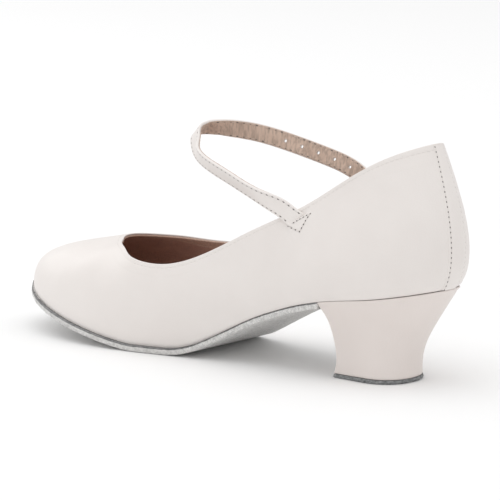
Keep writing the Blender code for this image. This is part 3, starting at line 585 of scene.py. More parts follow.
def leather_look(name, light, dark, grain=0.0007, depth=0.00003):
    look = Look(name, Coat_Weight=0.12, Coat_Roughness=0.32, Specular_IOR_Level=0.45)
    look.colour(look.ramp(look.noise(0.035, 3.0), (0.30, dark), (0.70, light)))
    look.roughness(look.ramp(look.noise(0.006, 4.0), (0.30, 0.42), (0.75, 0.52)))
    look.bump(look.cells(grain), depth, 0.6)
    look.bump(look.noise(grain * 0.45, 3.0), depth, 0.5)
    look.bump(look.noise(0.009, 3.0), 0.0003, 0.22)
    return look.mat


def lining_look(name, light, dark, grain=0.0006, streak=1.0):
    look = Look(name, Specular_IOR_Level=0.35, Sheen_Weight=0.12, Sheen_Roughness=0.5)
    tone = look.ramp(look.noise(0.012, 5.0, 0.6), (0.25, dark), (0.75, light))
    pores = look.noise(grain * 0.6, 2.0)
    if streak < 1.0:
        pores = look.noise(0.0011, 4.0, 0.6, stretch=((1.0, 1.0, 0.12), (0.0, 0.5, 0.0)))
    pores = look.ramp(pores, (0.40, min(0.72, streak)), (0.56, 1.0))
    look.colour(look.mix(1.0, tone, pores, "MULTIPLY"))
    look.roughness(look.ramp(look.noise(0.004, 3.0), (0.3, 0.52), (0.7, 0.66)))
    look.bump(look.cells(grain), 0.00004, 0.7)
    look.bump(look.noise(0.005, 3.0), 0.0002, 0.3)
    return look.mat


def suede_look(name, light, dark, nap=0.00035, depth=0.00012):
    look = Look(name, Specular_IOR_Level=0.15, Sheen_Weight=0.35, Sheen_Roughness=0.6)
    fibres = look.noise(nap, 6.0, 0.75)
    blot = look.noise(0.0016, 5.0, 0.7)
    tone = look.ramp(fibres, (0.36, dark), (0.58, light))
    look.colour(look.mix(look.ramp(blot, (0.45, 0.0), (0.60, 0.75)), tone, dark))
    look.roughness(look.ramp(blot, (0.3, 0.88), (0.7, 0.98)))
    look.bump(fibres, depth, 0.9)
    look.bump(look.noise(0.0018, 4.0), 0.0003, 0.35)
    return look.mat


def rubber_look(name, light, dark):
    look = Look(name, Specular_IOR_Level=0.3)
    speck = look.noise(0.0008, 5.0, 0.75)
    look.colour(look.ramp(speck, (0.35, dark), (0.65, light)))
    look.roughness(look.ramp(look.noise(0.002, 3.0), (0.3, 0.62), (0.7, 0.85)))
    look.bump(speck, 0.00015, 0.8)
    return look.mat


def metal_look(name, colour, rough):
    look = Look(name, Metallic=1.0)
    look.colour(look.ramp(look.noise(0.004, 3.0), (0.3, tuple(c * 0.93 for c in colour)),
                          (0.7, colour)))
    look.roughness(look.ramp(look.noise(0.0012, 4.0), (0.35, rough), (0.7, rough + 0.12)))
    look.bump(look.noise(0.0006, 3.0, stretch=((1.0, 6.0, 6.0), (0.0, 0.4, 0.3))), 0.00001, 0.4)
    return look.mat


def thread_look(name, light, dark):
    look = Look(name, Sheen_Weight=0.2)
    ply = look.noise(0.0003, 2.0, stretch=((1.0, 1.0, 2.5), (0.5, 0.6, 0.0)))
    look.colour(look.ramp(ply, (0.35, dark), (0.65, light)))
    look.roughness(look.ramp(ply, (0.3, 0.55), (0.7, 0.75)))
    look.bump(ply, 0.00005, 0.6)
    return look.mat


WHITE = leather_look("white_leather", (0.835, 0.790, 0.760), (0.790, 0.742, 0.712))
HEEL_WHITE = leather_look("heel_leather", (0.800, 0.735, 0.700), (0.760, 0.692, 0.655))
LINING = lining_look("brown_lining", (0.600, 0.388, 0.312), (0.480, 0.295, 0.235))
LINING_EDGE = lining_look("lining_edge", (0.640, 0.450, 0.360), (0.540, 0.370, 0.290))
STRAP_LINING = lining_look("strap_lining", (0.700, 0.540, 0.440), (0.560, 0.415, 0.330),
                           grain=0.0008, streak=0.70)
SUEDE = suede_look("grey_suede", (0.830, 0.815, 0.795), (0.460, 0.452, 0.440))
# near-black suede: painted shade for the crevice where the upper overhangs the sole
SUEDE_SHADE_LINE = suede_look("suede_painted_shade", (0.330, 0.325, 0.325), (0.060, 0.061, 0.063))
RUBBER = rubber_look("lift_rubber", (0.400, 0.405, 0.405), (0.045, 0.049, 0.052))
METAL = metal_look("buckle_nickel", (0.80, 0.79, 0.77), 0.16)
THREAD_WHITE = thread_look("white_thread", (0.82, 0.78, 0.75), (0.70, 0.66, 0.63))
THREAD_TAN = thread_look("tan_thread", (0.62, 0.50, 0.42), (0.48, 0.37, 0.30))
# near-black dots laid at the needle holes: painted shade for the shadow inside each hole
NEEDLE_HOLE_SHADE = thread_look("needle_hole_shade", (0.16, 0.14, 0.13), (0.10, 0.085, 0.08))

# Stitches, in metres: half of each lies in the leather; the needle holes between them get dark dots
# of painted shade
THREAD = {"look": THREAD_WHITE, "hole_shade_look": NEEDLE_HOLE_SHADE, "width": 0.00050, "rise": 0.00016,
          "hole": 0.00110, "hole_width": 0.00055, "hole_rise": 0.00007}
FINE_THREAD = {**THREAD, "width": 0.00036, "rise": 0.00012, "hole": 0.00045,
               "hole_width": 0.00036, "hole_rise": 0.00006}
INNER_THREAD = {**THREAD, "look": THREAD_TAN, "hole": 0.0012, "hole_width": 0.0006}


# Meshes

def placed(points):
    return np.asarray(points, float) * (-1.0, -1.0, 1.0) + (ORIGIN_X, 0.0, 0.0)


def outward(points, faces):
    """The faces of a closed mesh, turned to face out."""
    volume = 0.0
    for size in sorted({len(face) for face in faces}):
        group = np.array([face for face in faces if len(face) == size])
        for k in range(1, size - 1):
            volume += np.sum(points[group[:, 0]] * np.cross(points[group[:, k]],
                                                            points[group[:, k + 1]]))
    return faces if volume > 0 else [face[::-1] for face in faces]


def linked(name, data):
    thing = bpy.data.objects.new(name, data)
    bpy.context.collection.objects.link(thing)
    return thing


def closed_mesh(name, points, faces):
    """A closed mesh along the last, put in the model's frame with its faces turned outwards."""
    points = placed(points)
    mesh = bpy.data.meshes.new(name)
    mesh.from_pydata(points.tolist(), [], outward(points, faces))
    return mesh


def cut(thing, points, faces):
    """Take the closed mesh of these points away from a piece."""
    cutter = linked("cutter", closed_mesh("cutter", points, faces))
    boolean = thing.modifiers.new("cut", "BOOLEAN")
    boolean.operation, boolean.solver, boolean.object = "DIFFERENCE", "EXACT", cutter
    graph = bpy.context.evaluated_depsgraph_get()
    result = bpy.data.meshes.new_from_object(thing.evaluated_get(graph))
    thing.modifiers.remove(boolean)
    thing.data = result
    bpy.data.objects.remove(cutter)


def piece(name, points, faces, look, crease=50):
    """A shown mesh that rides on the shoe."""
    mesh = closed_mesh(name, points, faces)
    mesh.validate()
    mesh.materials.append(look)
    mesh.shade_smooth()
    mesh.set_sharp_from_angle(angle=math.radians(crease))
    thing = linked(name, mesh)
    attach(thing, "root")
    return thing


def loft(rings, closed=False):
    """Points and faces through rings of equal count; an open run of rings gets two caps."""
    rings = np.asarray(rings, float)
    count, around = rings.shape[:2]
    faces = []
    for k in range(count if closed else count - 1):
        here, there = k * around, (k + 1) % count * around
        for i in range(around):
            j = (i + 1) % around
            faces.append((here + i, here + j, there + j, there + i))
    points = rings.reshape(-1, 3)
    if not closed:
        ends = (rings[0].mean(0), rings[-1].mean(0))
        points = np.concatenate([points, ends])
        base, last = (count - 1) * around, count * around
        for i in range(around):
            j = (i + 1) % around
            faces.append((j, i, last))
            faces.append((base + i, base + j, last + 1))
    return points, faces


def band(path, across, out, section, closed=False):
    """Points and faces of a band: section gives (across, out) pairs, or one list for each place."""
    section = np.asarray(section, float)
    rings = path[:, None] + section[..., :1] * across[:, None] + section[..., 1:] * out[:, None]
    return loft(rings, closed)


def circle(radius, count):
    return [(radius * math.cos(a), radius * math.sin(a))
            for a in np.linspace(0.0, 2 * math.pi, count + 1)[:-1]]


def round_band(width, thick, corner, steps, flat):
    """Outline of a band with round edges, counted from the inner left corner."""
    w, t, c = width / 2, thick / 2, min(corner, thick / 2 * 0.98)
    outline = []
    for cx, cy, start in ((-w + c, -t + c, 180), (w - c, -t + c, 270), (w - c, t - c, 0),
                          (-w + c, t - c, 90)):
        for step in range(steps + 1):
            angle = math.radians(start + 90 * step / steps)
            outline.append((cx + c * math.cos(angle), cy + c * math.sin(angle)))
        if start in (0, 180):
            side = 1 if start == 180 else -1
            outline += [(side * (-w + c + 2 * (w - c) * (k / flat)), -side * t)
                        for k in range(1, flat)]
    return np.array(outline)


BEAD_RINGS, BEAD_SIDES = 5, 7


def beads(name, centres, alongs, outs, sizes, look):
    """Many small ellipsoids: stitches, and dark dots of painted shade at needle holes. sizes are half
    lengths along, across, out.
    """
    alongs = unit(alongs)
    outs = unit(outs - np.sum(outs * alongs, 1, keepdims=True) * alongs)
    ways = np.stack([alongs, np.cross(outs, alongs), outs], 1)
    ball = [(-1.0, 0.0, 0.0)]
    for k in range(1, BEAD_RINGS + 1):
        lift = math.pi * k / (BEAD_RINGS + 1)
        ball += [(-math.cos(lift), y, z) for y, z in circle(math.sin(lift), BEAD_SIDES)]
    ball = np.array(ball + [(1.0, 0.0, 0.0)])
    last = len(ball) - 1
    pattern = []
    for s in range(BEAD_SIDES):
        e = (s + 1) % BEAD_SIDES
        pattern += [(0, 1 + e, 1 + s), (last, last - BEAD_SIDES + s, last - BEAD_SIDES + e)]
        for a in range(1, last - BEAD_SIDES, BEAD_SIDES):
            pattern.append((a + s, a + e, a + BEAD_SIDES + e, a + BEAD_SIDES + s))
    points = centres[:, None] + np.einsum("vk,nkc->nvc", ball * sizes, ways)
    faces = [tuple(start + v for v in face)
             for start in range(0, len(centres) * len(ball), len(ball)) for face in pattern]
    piece(name, points.reshape(-1, 3), faces, look, crease=80)


def seam(name, path, outs, pitch, thread=THREAD):
    """A row of stitches along a path, each dipping into a needle hole at both ends, where a dark dot
    of painted shade stands in for the hole's shadow.
    """
    lengths = lengths_along(path)
    end = lengths[-1]
    marks = np.linspace(0.0, end, max(int(round(end / pitch)), 1) + 1)
    middle = 0.5 * (marks[1:] + marks[:-1])
    ends, out = at_marks(marks, lengths, path), at_marks(middle, lengths, outs)
    centres = at_marks(middle, lengths, path) + 0.2 * thread["rise"] * out
    beads(name, centres, np.diff(ends, axis=0), out,
          ((pitch - thread["hole"]) / 2, thread["width"] / 2, thread["rise"]), thread["look"])
    if thread["hole_shade_look"] is None:
        return
    ways = (at_marks(np.minimum(marks + SMALL, end), lengths, path)
            - at_marks(np.maximum(marks - SMALL, 0), lengths, path))
    # dark dots of painted shade at the needle holes
    beads(name + "_hole_shades", ends, ways, at_marks(marks, lengths, outs),
          (thread["hole"] / 2, thread["hole_width"] / 2, thread["hole_rise"]),
          thread["hole_shade_look"])


# The upper

TOP_ROUND = 0.00035       # radius of the leather's fold at the topline
LINING_DROP = 0.0002      # lining's top edge below the topline
LINING_FACING = 0.0032    # lighter strip of lining along that edge
FOLD_DEPTH = 0.0056       # the leather is double down to here
FOLD_RISE = 0.00004       # and stands out this much
TUCK = 0.0002             # the upper turns in at the feather line
TOP_SEAM = 0.0017         # stitch row below the topline

# The slit that takes the strap's inner end, by places on the upper's inner side
SLIT_LOW = np.array((0.0686, 0.0647))      # along the last, above the floor
SLIT_HIGH = np.array((0.0571, 0.0714))
SLIT_WAY = (SLIT_HIGH - SLIT_LOW) / np.linalg.norm(SLIT_HIGH - SLIT_LOW)
SLIT_OVER = np.array((-SLIT_WAY[1], SLIT_WAY[0]))
SLIT_LENGTH = np.linalg.norm(SLIT_HIGH - SLIT_LOW)
BOX_FAR = (0.0052, 0.0054)                 # far corner of the stitched box, along and below
LIP_RISE = 0.0007                          # upper stands up over the strap's sewn end
TROUGH_DEPTH = 0.00035                     # and dips above it
DENT_DEPTH = 0.00045                       # the quarter pulls in a little under the box
DENT_PLACE, DENT_REACH = (0.0535, 0.0575), (0.0085, 0.0050)
WAVE_HEIGHT = 0.00010
STRIP_SEAM = 0.80                          # stitch rows, as a share of the strip's half width

RING_TURNS = np.sort(np.concatenate([np.arange(0.0, 1.0, 1 / 340),
                                     np.arange(0.1240, 0.1660, 1 / 1500) + 1e-5]))


def rib_length(turn):
    rises = np.linspace(0.0, 1.0, 15)
    points = np.array([skin(turn, rise) for rise in rises])
    return np.linalg.norm(np.diff(points, axis=0), axis=-1).sum(0)


def slit_places(points):
    """Distance along the slit from its low end, and below it, towards the heel."""
    plan = points[..., [0, 2]] - SLIT_LOW
    return plan @ SLIT_WAY, plan @ SLIT_OVER


def slit_reach(along):
    """Share of the slit's relief at a place along it."""
    return smooth(-0.0008, 0.0012, along) * (1 - smooth(SLIT_LENGTH - 0.0035,
                                                        SLIT_LENGTH + 0.0012, along))


def lip_fall(below):
    """How the lip over the sewn end sinks back into the quarter."""
    return (1 - 0.75 * smooth(0.0, 0.0065, below)) * (1 - smooth(0.0058, 0.0085, below))


def relief(turn, rise, depth):
    """Outward height of the leather's detail, depth being metres below the topline."""
    points = skin(turn, rise)
    lift = FOLD_RISE * (1 - smooth(FOLD_DEPTH - 0.0004, FOLD_DEPTH + 0.0006, depth))
    lift -= 0.00005 * np.exp(-((depth - TOP_SEAM) / 0.00045)**2)
    lift -= TUCK * (1 - smooth(0.0, 0.045, rise))**2
    inner = points[..., 1] > 0
    along, below = slit_places(points)
    lip = smooth(-0.0002, 0.0003, below) * lip_fall(below)
    trough = smooth(-0.0030, -0.0002, below) * (1 - smooth(-0.0002, 0.0002, below))
    lift += inner * slit_reach(along) * (LIP_RISE * lip - TROUGH_DEPTH * trough)
    dent = (points[..., [0, 2]] - DENT_PLACE) / DENT_REACH
    return lift - inner * DENT_DEPTH * np.exp(-np.sum(dent**2, -1))


def quiet_waves(points):
    """Slow unevenness of leather over a last, in metres."""
    values = [noise.noise(Vector(p) * 55.0) + 0.4 * noise.noise(Vector(p) * 160.0 + Vector((3, 1, 7)))
              for p in points.reshape(-1, 3)]
    return np.array(values).reshape(points.shape[:-1]) * WAVE_HEIGHT


def make_upper():
    turns, length = RING_TURNS, rib_length(RING_TURNS)
    near_top = np.concatenate([np.arange(0.0130, 0.0030, -0.00036),
                               np.arange(0.0030, TOP_ROUND, -0.00022), [TOP_ROUND]])
    depths = [near_top[0] + share * (length - near_top[0])
              for share in np.linspace(1.0, 0.0, 48)[:-1]]
    rings = []
    for depth in depths + [np.full_like(length, d) for d in near_top]:
        rise = np.clip(1.0 - depth / length, 0.0, 1.0)
        base = skin(turns, rise)
        lift = relief(turns, rise, depth) + quiet_waves(base) * smooth(0.0, 0.004, depth)
        rings.append(base + skin_normals(turns, rise) * lift[:, None])
    # The fold, half round, and the leather's inner side
    top, out = skin(turns, 1.0), skin_normals(turns, 1.0)
    up = unit(top - skin(turns, 0.985))
    centre = top - TOP_ROUND * (up + out)
    edge_lift = relief(turns, np.ones_like(turns), np.zeros_like(turns))[:, None] * out
    for share in np.arange(1, 9) / 8:
        angle = math.pi * share
        rings.append(centre + TOP_ROUND * (math.cos(angle) * out + math.sin(angle) * up)
                     + edge_lift * (1 - share))
    inner_rises = np.concatenate([1 - np.linspace(0.0009, 0.006, 5)[:, None] / length,
                                  np.linspace(0.8, 0.0, 22)[:, None] * np.ones_like(length)])
    rings += [off_skin(turns, rise, -2 * TOP_ROUND) for rise in inner_rises]
    points, faces = loft(np.array(rings).transpose(1, 0, 2), closed=True)
    upper = piece("upper_leather", points, faces, WHITE, crease=60)
    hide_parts("upper")


def make_lining():
    turns, length = RING_TURNS, rib_length(RING_TURNS)
    back_face = -2 * TOP_ROUND - 0.00004
    thick = back_face + WALL
    depths = np.concatenate([[LINING_DROP + 0.0002, LINING_DROP + 0.0006],
                             np.arange(0.0020, 0.0050, 0.0005), np.arange(0.006, 0.014, 0.002)])
    rises = [1 - d / length for d in depths]
    rises += [np.full_like(length, rise) for rise in np.linspace(0.62, 0.0, 12)]
    rings = [off_skin(turns, rise, back_face) for rise in reversed(rises)]
    rings += [off_skin(turns, 1 - LINING_DROP / length, back_face - share * thick)
              for share in (0.2, 0.8)]
    for rise in rises:
        # A shallow groove where the lighter facing ends
        depth = (1 - rise) * length
        groove = 0.00018 * np.exp(-((depth - LINING_FACING) / 0.0004)**2)
        base = off_skin(turns, rise, -WALL)
        wave = quiet_waves(base * 1.3) * 1.2 * smooth(0.003, 0.010, depth)
        rings.append(base + skin_normals(turns, rise) * (groove + wave)[:, None])
    points, faces = loft(np.array(rings).transpose(1, 0, 2), closed=True)
    lining = piece("upper_lining", points, faces, LINING, crease=60)
    lining.data.materials.append(LINING_EDGE)
    for polygon in lining.data.polygons:
        if len(rises) - 2 <= min(polygon.vertices) % len(rings) <= len(rises) + 7:
            polygon.material_index = 1


def make_top_seam():
    turns = np.linspace(0.0, 1.0, 1201)
    rise = 1 - TOP_SEAM / rib_length(turns)
    seam("topline_stitches", off_skin(turns, rise, FOLD_RISE - 0.00006),
         skin_normals(turns, rise), 0.0023, {**FINE_THREAD, "hole_shade_look": None})


def make_back_strip():
    width = STRIP_WIDTH / 2 / FOOT_STEPS.sum()
    shares = np.linspace(-1.0, 1.0, 33)
    turn = shares * width
    # Thin skived edges, and a dip under each stitch row
    high = 0.00005 + 0.00052 * (1 - np.abs(shares)**6)
    high -= 0.00008 * np.exp(-((np.abs(shares) - STRIP_SEAM) / 0.05)**2)
    rings = [np.concatenate([off_skin(turn, rise, high[:, None]),
                             off_skin(turn[::-1], rise, -0.0004)])
             for rise in np.linspace(0.012, 0.992, 90)]
    points, faces = loft(np.array(rings))
    strip = piece("back_strip_leather", points, faces, WHITE)
    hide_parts("back_strip")
    rise = np.linspace(0.015, 0.985, 200)
    for side, name in ((1, "inner"), (-1, "outer")):
        # the inner rows get dark dots of painted shade at their needle holes
        turn = np.full_like(rise, side * width * STRIP_SEAM)
        seam(f"back_{name}_stitches", off_skin(turn, rise, 0.00038), skin_normals(turn, rise),
             0.0021, {**FINE_THREAD, "hole": 0.0009, "hole_width": 0.0006,
                      "hole_shade_look": NEEDLE_HOLE_SHADE if side > 0 else None})


def slit_point(along, below, height):
    """Point on the upper's inner side at this place from the slit's low end."""
    target = SLIT_LOW + along * SLIT_WAY + below * SLIT_OVER
    turn, rise = turn_at(target[0] / LENGTH, 1), 0.85
    for _ in range(12):
        here = skin(turn, rise)[[0, 2]]
        by_turn = (skin(turn + SMALL, rise)[[0, 2]] - here) / SMALL
        by_rise = (skin(turn, rise - SMALL)[[0, 2]] - here) / -SMALL
        turn, rise = np.array([turn, rise]) + np.linalg.solve(
            np.stack([by_turn, by_rise], 1), target - here)
        rise = min(rise, 0.999)
    out = skin_normals(turn, rise)
    return skin(turn, rise) + height * out, out


def make_slit_stitches():
    corners = np.array([(0.0002, 0.0008), (SLIT_LENGTH, 0.0008), BOX_FAR, (0.0002, 0.0008)])
    for k in range(3):
        places = [slit_point(*(corners[k] + s * (corners[k + 1] - corners[k])), 0.0)
                  for s in np.linspace(0.0, 1.0, 24)]
        path, outs = (np.array(field) for field in zip(*places))
        along, below = slit_places(path)
        path = path + outs * (LIP_RISE * slit_reach(along) * lip_fall(below) + 0.00002)[:, None]
        seam(f"slit_stitches_{k + 1}", path, outs, 0.0020,
             {**THREAD, "hole": 0.0008, "hole_width": 0.00055})


# The insole, outsole and heel

def branches(outline):
    """Inner and outer halves of a closed plan outline, each sorted along the last."""
    back, toe = np.argmin(outline[:, 0]), np.argmax(outline[:, 0])
    order = np.roll(outline, -back, axis=0)
    toe = (toe - back) % len(outline)
    halves = order[:toe + 1], np.concatenate([order[toe:], order[:1]])[::-1]
    return sorted(halves, key=lambda half: -half[len(half) // 2, 1])


def widths(outline, x):
    inner, outer = branches(outline)
    return np.interp(x, inner[:, 0], inner[:, 1]), np.interp(x, outer[:, 0], outer[:, 1])


INSOLE_INSET = WALL - 0.0010    # from the feather line, so that its edge lies under the lining
TIP_STEP = 2e-5                 # first and last stations lie this far inside an outline


def make_insole():
    outline = feather_outline(lambda x: np.full_like(x, -INSOLE_INSET), 1200)
    low, high = outline[:, 0].min() + TIP_STEP, outline[:, 0].max() - TIP_STEP
    shares = eased(41)
    rings = []
    for x in low + (high - low) * eased(190):
        inner, outer = widths(outline, x)
        y = inner + (outer - inner) * shares
        edge = np.minimum(y.max() - y, y - y.min())
        ends = np.minimum(x - low, high - x)
        soft = np.minimum(edge, ends)
        # Rounded edge, a pad under the heel, and the line pressed in along the edge
        pad = INSOLE - 0.0009 * (1 - smooth(0.0, 0.0022, soft))
        pad += 0.0007 * smooth(0.001, 0.012, soft) * (1 - smooth(0.055, 0.085, x))
        pad -= 0.00025 * np.exp(-((edge - 0.0035) / 0.0006)**2) * smooth(0.003, 0.006, ends)
        points = np.stack([np.full_like(y, x), y, feather(np.full_like(y, x)) + pad], 1)
        points[:, 2] += quiet_waves(points)
        under = np.stack([np.full(9, x), np.linspace(outer, inner, 9),
                          feather(np.full(9, x)) + 0.0001], 1)
        rings.append(np.concatenate([points, under]))
    points, faces = loft(np.array(rings))
    sock = piece("insole_sock", points, faces, LINING)
    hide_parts("insole")


WALL_SHARES = np.array((0.22, 0.48, 0.77))      # rows up the sole's edge
SOLE_CORNER = 0.0007      # radius of its worn lower corner
SOLE_RIDGE = 0.0005       # a shallow ridge runs along the waist
EDGE_ROUGH = 0.00022      # unevenness of the cut edge
SHADE_LINE_ROWS = 7             # rows of faces painted near-black as the shade in the crevice under the upper


def rough(x, y, z):
    return noise.noise(Vector((x, y, z)))


def make_outsole():
    outline = feather_outline(sole_overhang, 1600)
    back, toe = BREAST + JOIN_GAP, outline[:, 0].max() - TIP_STEP
    stations = back + (toe - back) * np.sin(np.linspace(0.0, 1.0, 210) * math.pi / 2)
    tip = toe - (toe - stations[-30]) * np.linspace(1, 0, 24)[1:-1]**2
    across = eased(61)
    rings = []
    for x in np.sort(np.concatenate([stations, tip])):
        inner, outer = widths(outline, x)
        taper = smooth(0.0, 0.010, x - back) * smooth(0.0, 0.003, toe - x)
        fray = [0.00012 * rough(x * 900.0, side * 5.0, 0.0)
                + 0.00022 * rough(x * 260.0, side * 9.0, 4.0) for side in (1, -1)]
        inner, outer = inner + fray[0] * taper, outer - fray[1] * taper
        y = inner + (outer - inner) * across
        bow = BREAST_CURVE * (1 - smooth(0.0, 0.030, x - back))
        station = x - bow * 4 * across * (1 - across)
        edge = np.clip(np.minimum(inner - y, y - outer) / SOLE_CORNER, 0, 1)
        turn_up = SOLE_CORNER * (1 - np.sqrt(np.clip(1 - (1 - edge)**2, 0, 1)))
        off_floor = (1 - smooth(TREAD_START - 0.01, TREAD_START, x)
                     + smooth(TREAD_END, TREAD_END + 0.02, x))
        low = tread(station) + turn_up * (0.5 + 0.5 * off_floor)
        waist = smooth(BREAST, 0.062, x) * (1 - smooth(0.092, 0.112, x))
        low -= waist * SOLE_RIDGE * (1 - smooth(0.001, 0.009, np.abs(y - 0.001)))
        nap = np.array([rough(x * 1200.0, v * 1200.0, 0.0) for v in y]) * 0.00005
        under = np.stack([station, y, np.maximum(low + nap * taper, 0.0)], 1)
        high = tread(station[::-1]) + SOLE + JOIN_GAP * 0.5
        over = np.stack([station[::-1], y[::-1], high], 1)
        walls = []
        for start, end, out in ((under[-1], over[0], -1), (over[-1], under[0], 1)):
            shares = WALL_SHARES if out < 0 else 1 - WALL_SHARES[::-1]
            wall = start + shares[:, None] * (end - start)
            bumps = np.array([EDGE_ROUGH * rough(p[0] * 1500.0, out * 3.0, p[2] * 1500.0)
                              for p in wall])
            wall[:, 1] += out * taper * (bumps + 0.0001)
            wall[:, 2] += 0.8 * taper * bumps
            walls.append(wall)
        rings.append(np.concatenate([under, walls[0], over, walls[1]]))
    points, faces = loft(np.array(rings))
    sole = piece("suede_outsole", points, faces, SUEDE)
    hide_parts("outsole")
    # The sole's top along both edges, under the upper's overhang, and the top of its cut wall take
    # the near-black suede as painted shade
    sole.data.materials.append(SUEDE_SHADE_LINE)
    last, count = len(across) + len(WALL_SHARES), len(rings[0])
    dark = [{last + k - 1, last + k} for k in range(SHADE_LINE_ROWS)]
    dark += [{last + len(across) - k, last + len(across) - k - 1} for k in range(SHADE_LINE_ROWS)]
    for polygon in sole.data.polygons:
        if {v % count for v in polygon.vertices} in dark:
            polygon.material_index = 1


def heel_columns(height):
    """Run, spread and hollow of the heel at shares of its height."""
    table = np.array(HEEL_TABLE)
    return [hermite(table[:, 0], table[:, k], spline_slopes(table[:, 0], table[:, k], False),
                    height) for k in (1, 2, 3)]


SEAT_DROP = 0.00010       # the heel's rim stands this much lower at the back
SEAT_FILL = 0.00024       # its cover fills most of the glue line


def make_heel():
    round_points, breast_points = 161, 41
    low = lift_outline(round_points, breast_points)
    turns = np.linspace(turn_of_x(BREAST, 1), turn_of_x(BREAST, -1), 4 * FINE)
    seat = spaced(feather_plan(turns), round_points)
    front = breast_line(seat[-1], seat[0], BREAST_CURVE, breast_points + 2)[1:-1]
    high = np.concatenate([seat, front])
    centre = np.array([0.028, 0.0])
    near_breast = np.clip((low[:, 0] - LIFT_BACK) / (LIFT_FRONT - LIFT_BACK), 0, 1)**3
    base, seat_height = LIFT - 0.0001, tread(high[:, 0]) + SOLE + SEAT_FILL
    around_back = smooth(0.045, 0.012, high[:, 0])
    heights = np.linspace(0.0, 1.0, 96)
    rings = []
    for height, run, spread, hollow in zip(heights, *heel_columns(heights)):
        x = low[:, 0] + run * (high[:, 0] - low[:, 0]) - hollow * BREAST_HOLLOW * near_breast
        y = low[:, 1] + spread * (high[:, 1] - low[:, 1])
        z = base + height * (seat_height - SEAT_DROP * around_back - base)
        rim = unit(np.column_stack([x, y]) - centre)
        lip = 0.0005 * smooth(0.955, 0.985, height) * (1 - smooth(0.993, 1.0, height) * 0.9)
        swell = (lip * around_back - 0.0004 * (1 - smooth(0.0, 0.015, height)))[:, None] * rim
        rings.append(np.column_stack([x + swell[:, 0], y + swell[:, 1], z]))
    rings = np.array(rings)
    waves = quiet_waves(rings * 0.9)[..., None] * 0.6
    rings += waves * (rings - rings.mean(1, keepdims=True)) / 0.02
    cap = []
    for share in (0.9, 0.6, 0.3):
        ring = rings[-1].copy()
        ring[:, :2] = centre + share * (ring[:, :2] - centre)
        ring[:, 2] = tread(ring[:, 0]) + SOLE + SEAT_FILL - SEAT_DROP * share * around_back
        cap.append(ring)
    points, faces = loft(np.concatenate([rings, np.array(cap)]))
    heel = piece("covered_heel", points, faces, HEEL_WHITE, crease=45)
    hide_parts("heel")


def make_lift():
    outline = lift_outline(220, 60)
    centre = np.array([0.034, 0.0])
    top, middle = LIFT - 0.0003, centre + 0.2 * (outline - centre)
    rings = [np.column_stack([middle, np.full(len(middle), 0.0)])]
    for height, inset in ((0.0, 0.00035), (0.00012, 0.00012), (0.0004, 0.0), (0.0008, 0.0),
                          (0.0012, 0.00005), (top, 0.0002)):
        bumps = np.array([rough(p[0] * 900, p[1] * 900, height * 2500) for p in outline])
        ring = outline + unit(outline - centre) * (0.00040 * bumps + 0.00025 - inset)[:, None]
        rings.append(np.column_stack([ring, np.full(len(ring), height)]))
    rings.append(np.column_stack([middle, np.full(len(middle), top)]))
    points, faces = loft(np.array(rings))
    lift = piece("rubber_lift", points, faces, RUBBER)
    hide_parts("heel_lift")


# The strap and its buckle

STRAP_OUTER = 0.0013      # white leather of the strap
STRAP_INSET = 0.0003      # its lining stands in from the edges
EDGE_SEAM = 0.0009        # stitch rows in from the strap's edges
STRAP_END = (             # middle of its sewn end: along the slit, below it, above the skin
    (0.0067, 0.0014, -0.0009),
    (0.0056, 0.0000, -0.0001),
    (0.0043, -0.0018, 0.0005),
)
STRAP_EDGE = np.array((0.0020, 0.0001, 0.0008))     # it passes this far off the topline


def strap_frame(count):
    """Middle line of the strap with the ways across and out, and lengths along it."""
    places, faces = strap_route()
    rows = [slit_point(*row) for row in STRAP_END]
    places = np.concatenate([[place for place, _ in rows], [places[0] + STRAP_EDGE], places[1:]])
    faces = np.concatenate([[face for _, face in rows], faces])
    knots = lengths_along(places)
    knots /= knots[-1]
    marks = np.linspace(0.0, 1.0, count)
    path, face = (hermite(knots, field, spline_slopes(knots, field, False), marks)
                  for field in (places, faces))
    ahead = unit(np.gradient(path, axis=0))
    out = unit(face - np.sum(face * ahead, 1, keepdims=True) * ahead)
    lengths = lengths_along(path)
    across = np.cross(out, ahead)
    # The sewn end is cut along the slit
    slit = SLIT_OVER[0] * ahead[0, 0] + SLIT_OVER[1] * ahead[0, 2]
    lean = -(SLIT_OVER[0] * across[0, 0] + SLIT_OVER[1] * across[0, 2]) / slit
    slant = lean * (1 - smooth(0.002, 0.011, lengths))[:, None] * ahead
    return path, across, out, lengths, slant


def on_strap(frame, offset, height):
    path, across, out, _, slant = frame
    return path + offset * (across + slant) + height * out


def strap_rows(frame, sections):
    path, across, out, lengths, slant = frame
    thin = (0.5 + 0.5 * smooth(0.0008, 0.0045, lengths))[:, None, None]
    return (path[:, None] + sections[..., :1] * (across + slant)[:, None]
            + sections[..., 1:] * thin * out[:, None])


